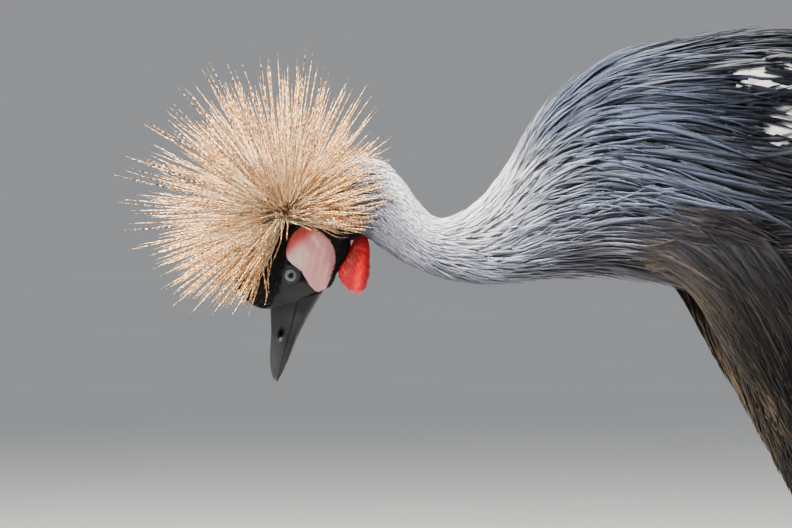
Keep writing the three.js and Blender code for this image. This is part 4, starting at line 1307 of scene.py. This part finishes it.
def crest(name, count, steps, width, shortest, longest, replaced=()):
    """Bristles spread evenly about the middle of the crest. They stand in loose bunches."""
    i = np.arange(count)
    around = i * math.pi * (3 - math.sqrt(5)) + rng.uniform(-0.1, 0.1, count)
    a, y = np.cos(around), np.sin(around)
    away = mix(CREST_SIDE, CREST_AHEAD, a * a) * np.sqrt((i + 0.4) / count)
    middle = np.array([math.cos(CREST_LEAN), 0, math.sin(CREST_LEAN)])
    forward = np.array([-middle[2], 0, middle[0]])
    way = middle * np.cos(away)[:, None] + forward * (a * np.sin(away))[:, None]
    way[:, 1] += y * np.sin(away)
    bunch = unit(rng.normal(0, 1, (BUNCHES, 3)))
    nearest = bunch[(way @ bunch.T).argmax(axis=1)]
    way = unit(mix(way, nearest, 0.14) + rng.normal(0, 0.03, way.shape))
    degrees = np.degrees(away)
    back_share = ease(-a, -0.35, 0.35)
    reach = mix(np.interp(degrees, *CREST_FORWARD), np.interp(degrees, *CREST_BACK), back_share)
    reach = reach * rng.uniform(shortest, longest, count)
    t = np.linspace(0, 1, steps)[None, :, None]
    bow = unit(rng.normal(0, 1, way.shape))
    path = CREST_ROOT + rng.normal(0, 3.0, way.shape)[:, None] + way[:, None] * (reach[:, None, None] * t)
    path = path + bow[:, None] * (3.5 * t * t) * rng.uniform(0, 1, count)[:, None, None]
    clear = rng.uniform(0.8, 3.5, count)[:, None, None]
    straight = from_head(path)
    path = np.where(t > 0.1, out_of(path, HEAD, 1.6, HEAD.end), path)
    path = np.where(t > 0.1, off_crown(path, clear), path)
    path = from_head(path)
    path = np.where(t > 0.1, out_of(path, BODY, 2.2, 7.0), path)
    free = np.linalg.norm(path - straight, axis=-1).max(axis=1) < CREST_PUSH
    path, way, reach, count = path[free], way[free], reach[free], int(free.sum())
    path = relaxed(path, 12)
    ahead = unit(np.gradient(path, axis=1))
    side = unit(np.cross(ahead, np.array([0.31, 0.87, 0.38])))
    up = np.cross(side, ahead)
    wind = (rng.random(count)[:, None] * 6.28 + reach[:, None] * 0.36 * t[..., 0])[..., None]
    side, up = side * np.cos(wind) + up * np.sin(wind), up * np.cos(wind) - side * np.sin(wind)
    colour = mix(CREAM, STRAW, ease(t, 0.3, 0.75))
    colour = mix(colour, BRISTLE_TIP, ease(t, 0.9, 1.0)) * rng.uniform(0.8, 1.05, count)[:, None, None]
    patch = 0.5 + 0.45 * way[:, :2]
    blades = Blades()
    wide = rng.uniform(0.8, 1.2, count) * width
    blades.add(path, side, up, wide, wide * 0.5, BRISTLE, SLIM, 0.0, colour, patch, rng.random(count))
    blades.piece(name, "crest", "crest_straw", replaced)


crest("crest_bristles", 1080, 30, 1.5, 0.76, 1.03, ["crest"])
crest("crest_short", 900, 20, 1.35, 0.35, 0.78)


# Feet

TOES = [("inner", -32, 60), ("middle", 0, 82), ("outer", 33, 66), ("hind", 168, 27)]
CLAW = 13.0
LEG_CELL = 0.8
SCALE_SEAM = np.array([0.020, 0.018, 0.018])
SCALE_GREY = np.array([0.062, 0.056, 0.054])
CLAW_BLACK = np.array([0.018, 0.016, 0.015])


def floor_tube(side, turn, rows, steps, sides=24):
    """A toe or claw along the floor, with a flat where it rests. Rows: distance, height, thickness."""
    rows = Form([[*row, 0.0, 0.0] for row in rows])
    distance, height, thick = np.moveaxis(rows.values(np.linspace(0, rows.end, steps)), -1, 0)[:3, :, None]
    angle = math.radians(turn) * side
    x, y = LEG[side]["foot"][0] - math.cos(angle) * distance, side * KNEE_OUT + math.sin(angle) * distance
    round_ = circle(sides)
    out = thick * np.cos(round_)
    z = np.maximum(height + thick * 1.08 * np.sin(round_), 0)
    return np.stack([x + math.sin(angle) * out, y + math.cos(angle) * out, z], -1)


def toe_rows(length):
    return [
        [0, 5.4, 5.6],
        [length * 0.22, 4.2, 4.6],
        [length * 0.36, 4.6, 5.2],
        [length * 0.52, 3.8, 4.2],
        [length * 0.68, 4.2, 4.7],
        [length * 0.84, 3.4, 3.8],
        [length, 3.0, 3.4],
    ]


def leg(side, word):
    form = LEGS[side]
    parts = [loft(form, FEATHER_END - 0.7, form.end, 90, 28)]
    parts.append(rings_mesh(floor_tube(side, 0, [[-9, 5, 6.5], [0, 6.5, 8.5], [9, 5, 7]], 12)))
    for _, turn, length in TOES:
        parts.append(rings_mesh(floor_tube(side, turn, toe_rows(length), 40)))
    points, faces = remeshed(parts, LEG_CELL, 3)
    x, y, z = points.T
    shank = form.values(np.linspace(form.end, FEATHER_END, 60))
    centre_x = np.interp(z, shank[:, 1], shank[:, 0])
    out = np.stack([x - centre_x, y - side * KNEE_OUT, 0 * z], -1)
    front = ease(-unit(out)[:, 0], 0.1, 0.6)
    broad = 1 - np.abs(2 * (z / 5.4 % 1) - 1) ** 5
    ring = np.floor(z / 3.0)
    around = np.arctan2(out[:, 1], out[:, 0]) * 3.2 + 0.5 * (ring % 2)
    small = (1 - np.abs(2 * (z / 3.0 % 1) - 1) ** 4) * (1 - np.abs(2 * (around % 1) - 1) ** 4)
    relief = np.where(z > 16, mix(0.28 * small, 0.42 * broad, front), 0)
    points = points + unit(out) * relief[:, None]
    toe = z <= 16
    reach = np.hypot(x - LEG[side]["foot"][0], y - side * KNEE_OUT)
    plate = 1 - np.abs(2 * (reach / 3.8 % 1) - 1) ** 5
    points[:, 2] += np.where(toe & (z > 4.0), 0.35 * plate, 0)
    relief = np.where(toe, plate * (z > 3.0) * 0.4, relief)
    colour = mix(SCALE_SEAM, SCALE_GREY, np.clip(relief / 0.42, 0, 1)[:, None])
    points[:, 2] = np.maximum(points[:, 2], 0)
    uv = (0.2 + (x - 40) / 400 + 0.1 * np.sign(y - side * KNEE_OUT), z / 300)
    replaced = [f"tarsus_{word}", f"foot_{word}"]
    bare_piece(f"leg_scales_{word}", points, faces, colour, uv, "leg", replaced)
    for toe_word, turn, length in TOES:
        rows = [[length - 1.5, 2.9, 2.6], [length + CLAW * 0.5, 2.6, 2.3], [length + CLAW * 0.85, 1.3, 1.2],
                [length + CLAW, 0.5, 0.4]]
        verts, polygons = rings_mesh(floor_tube(side, turn, rows, 26, 20))
        uv = (0.5 + (verts[:, 0] - 60) / 400, 0.5 + verts[:, 1] / 400)
        bare_piece(f"claw_horn_{word}_{toe_word}", verts, polygons, CLAW_BLACK, uv, "claw",
                   [f"claw_{word}_{toe_word}"])


for side, word in SIDES:
    leg(side, word)


# Floor, light and camera

VIEW_WIDTH = 617.76  # millimetres of the bird's mid plane across the picture
VIEW_CENTRE = place([-234.78, 0.0, 450.84])
CREST_MIDDLE = place([-329.16, 0.0, 520.26])
DISTANCE = 6.0
ELEVATION = math.radians(3)
FLOOR_HALF, FLOOR_FAR = 60, 90  # metres


def make_floor():
    near, far = -FLOOR_HALF, FLOOR_FAR
    verts = [(-FLOOR_HALF, near, 0), (FLOOR_HALF, near, 0), (FLOOR_HALF, far, 0), (-FLOOR_HALF, far, 0)]
    floor = smooth_mesh("floor", verts, [[0, 1, 2, 3]])
    paint = Paint("floor", Roughness=0.85)
    grain = paint.noise(paint.place(3.0), 1.0, 3.0)
    tone = paint.span(grain, 0.2, 0.8, 0.98, 1.02)
    floor.data.materials.append(paint.finish(paint.scaled((0.62, 0.62, 0.61), tone)))


def softbox(name, spot, size, power, colour, target, spread=180):
    light = bpy.data.lights.new(name, "AREA")
    light.shape = "DISK"
    light.size = size
    light.energy = power
    light.color = colour
    light.spread = math.radians(spread)
    lamp = bpy.data.objects.new(name, light)
    lamp.location = spot
    aim = Vector(target) - Vector(spot)
    lamp.rotation_euler = aim.to_track_quat("-Z", "Y").to_euler()
    bpy.context.scene.collection.objects.link(lamp)


def make_light():
    world = bpy.data.worlds.new("studio")
    world.use_nodes = True
    background = world.node_tree.nodes["Background"]
    background.inputs[0].default_value = (0.92, 0.95, 1.0, 1)
    background.inputs[1].default_value = 0.5
    bpy.context.scene.world = world
    middle = VIEW_CENTRE + np.array([0.15, 0, 0])
    softbox("key", (-0.4, 1.6, 2.4), 0.8, 220, (1.0, 0.96, 0.90), middle)
    softbox("fill", (-1.8, -2.6, 1.9), 1.6, 12, (0.98, 0.98, 1.0), middle)
    softbox("crest_light", (-1.1, -1.2, 1.7), 0.5, 8, (1.0, 0.96, 0.88), CREST_MIDDLE, 26)


def make_camera():
    camera = bpy.data.objects.new("camera", bpy.data.cameras.new("camera"))
    camera.data.sensor_width = 36
    camera.data.lens = 36 * DISTANCE / (VIEW_WIDTH * 0.001)
    camera.data.clip_end = 400
    back = Vector((0, -math.cos(ELEVATION), math.sin(ELEVATION)))
    camera.location = Vector(VIEW_CENTRE) + back * DISTANCE
    camera.rotation_euler = (-back).to_track_quat("-Z", "Y").to_euler()
    bpy.context.scene.collection.objects.link(camera)
    bpy.context.scene.camera = camera


make_floor()
make_light()
make_camera()
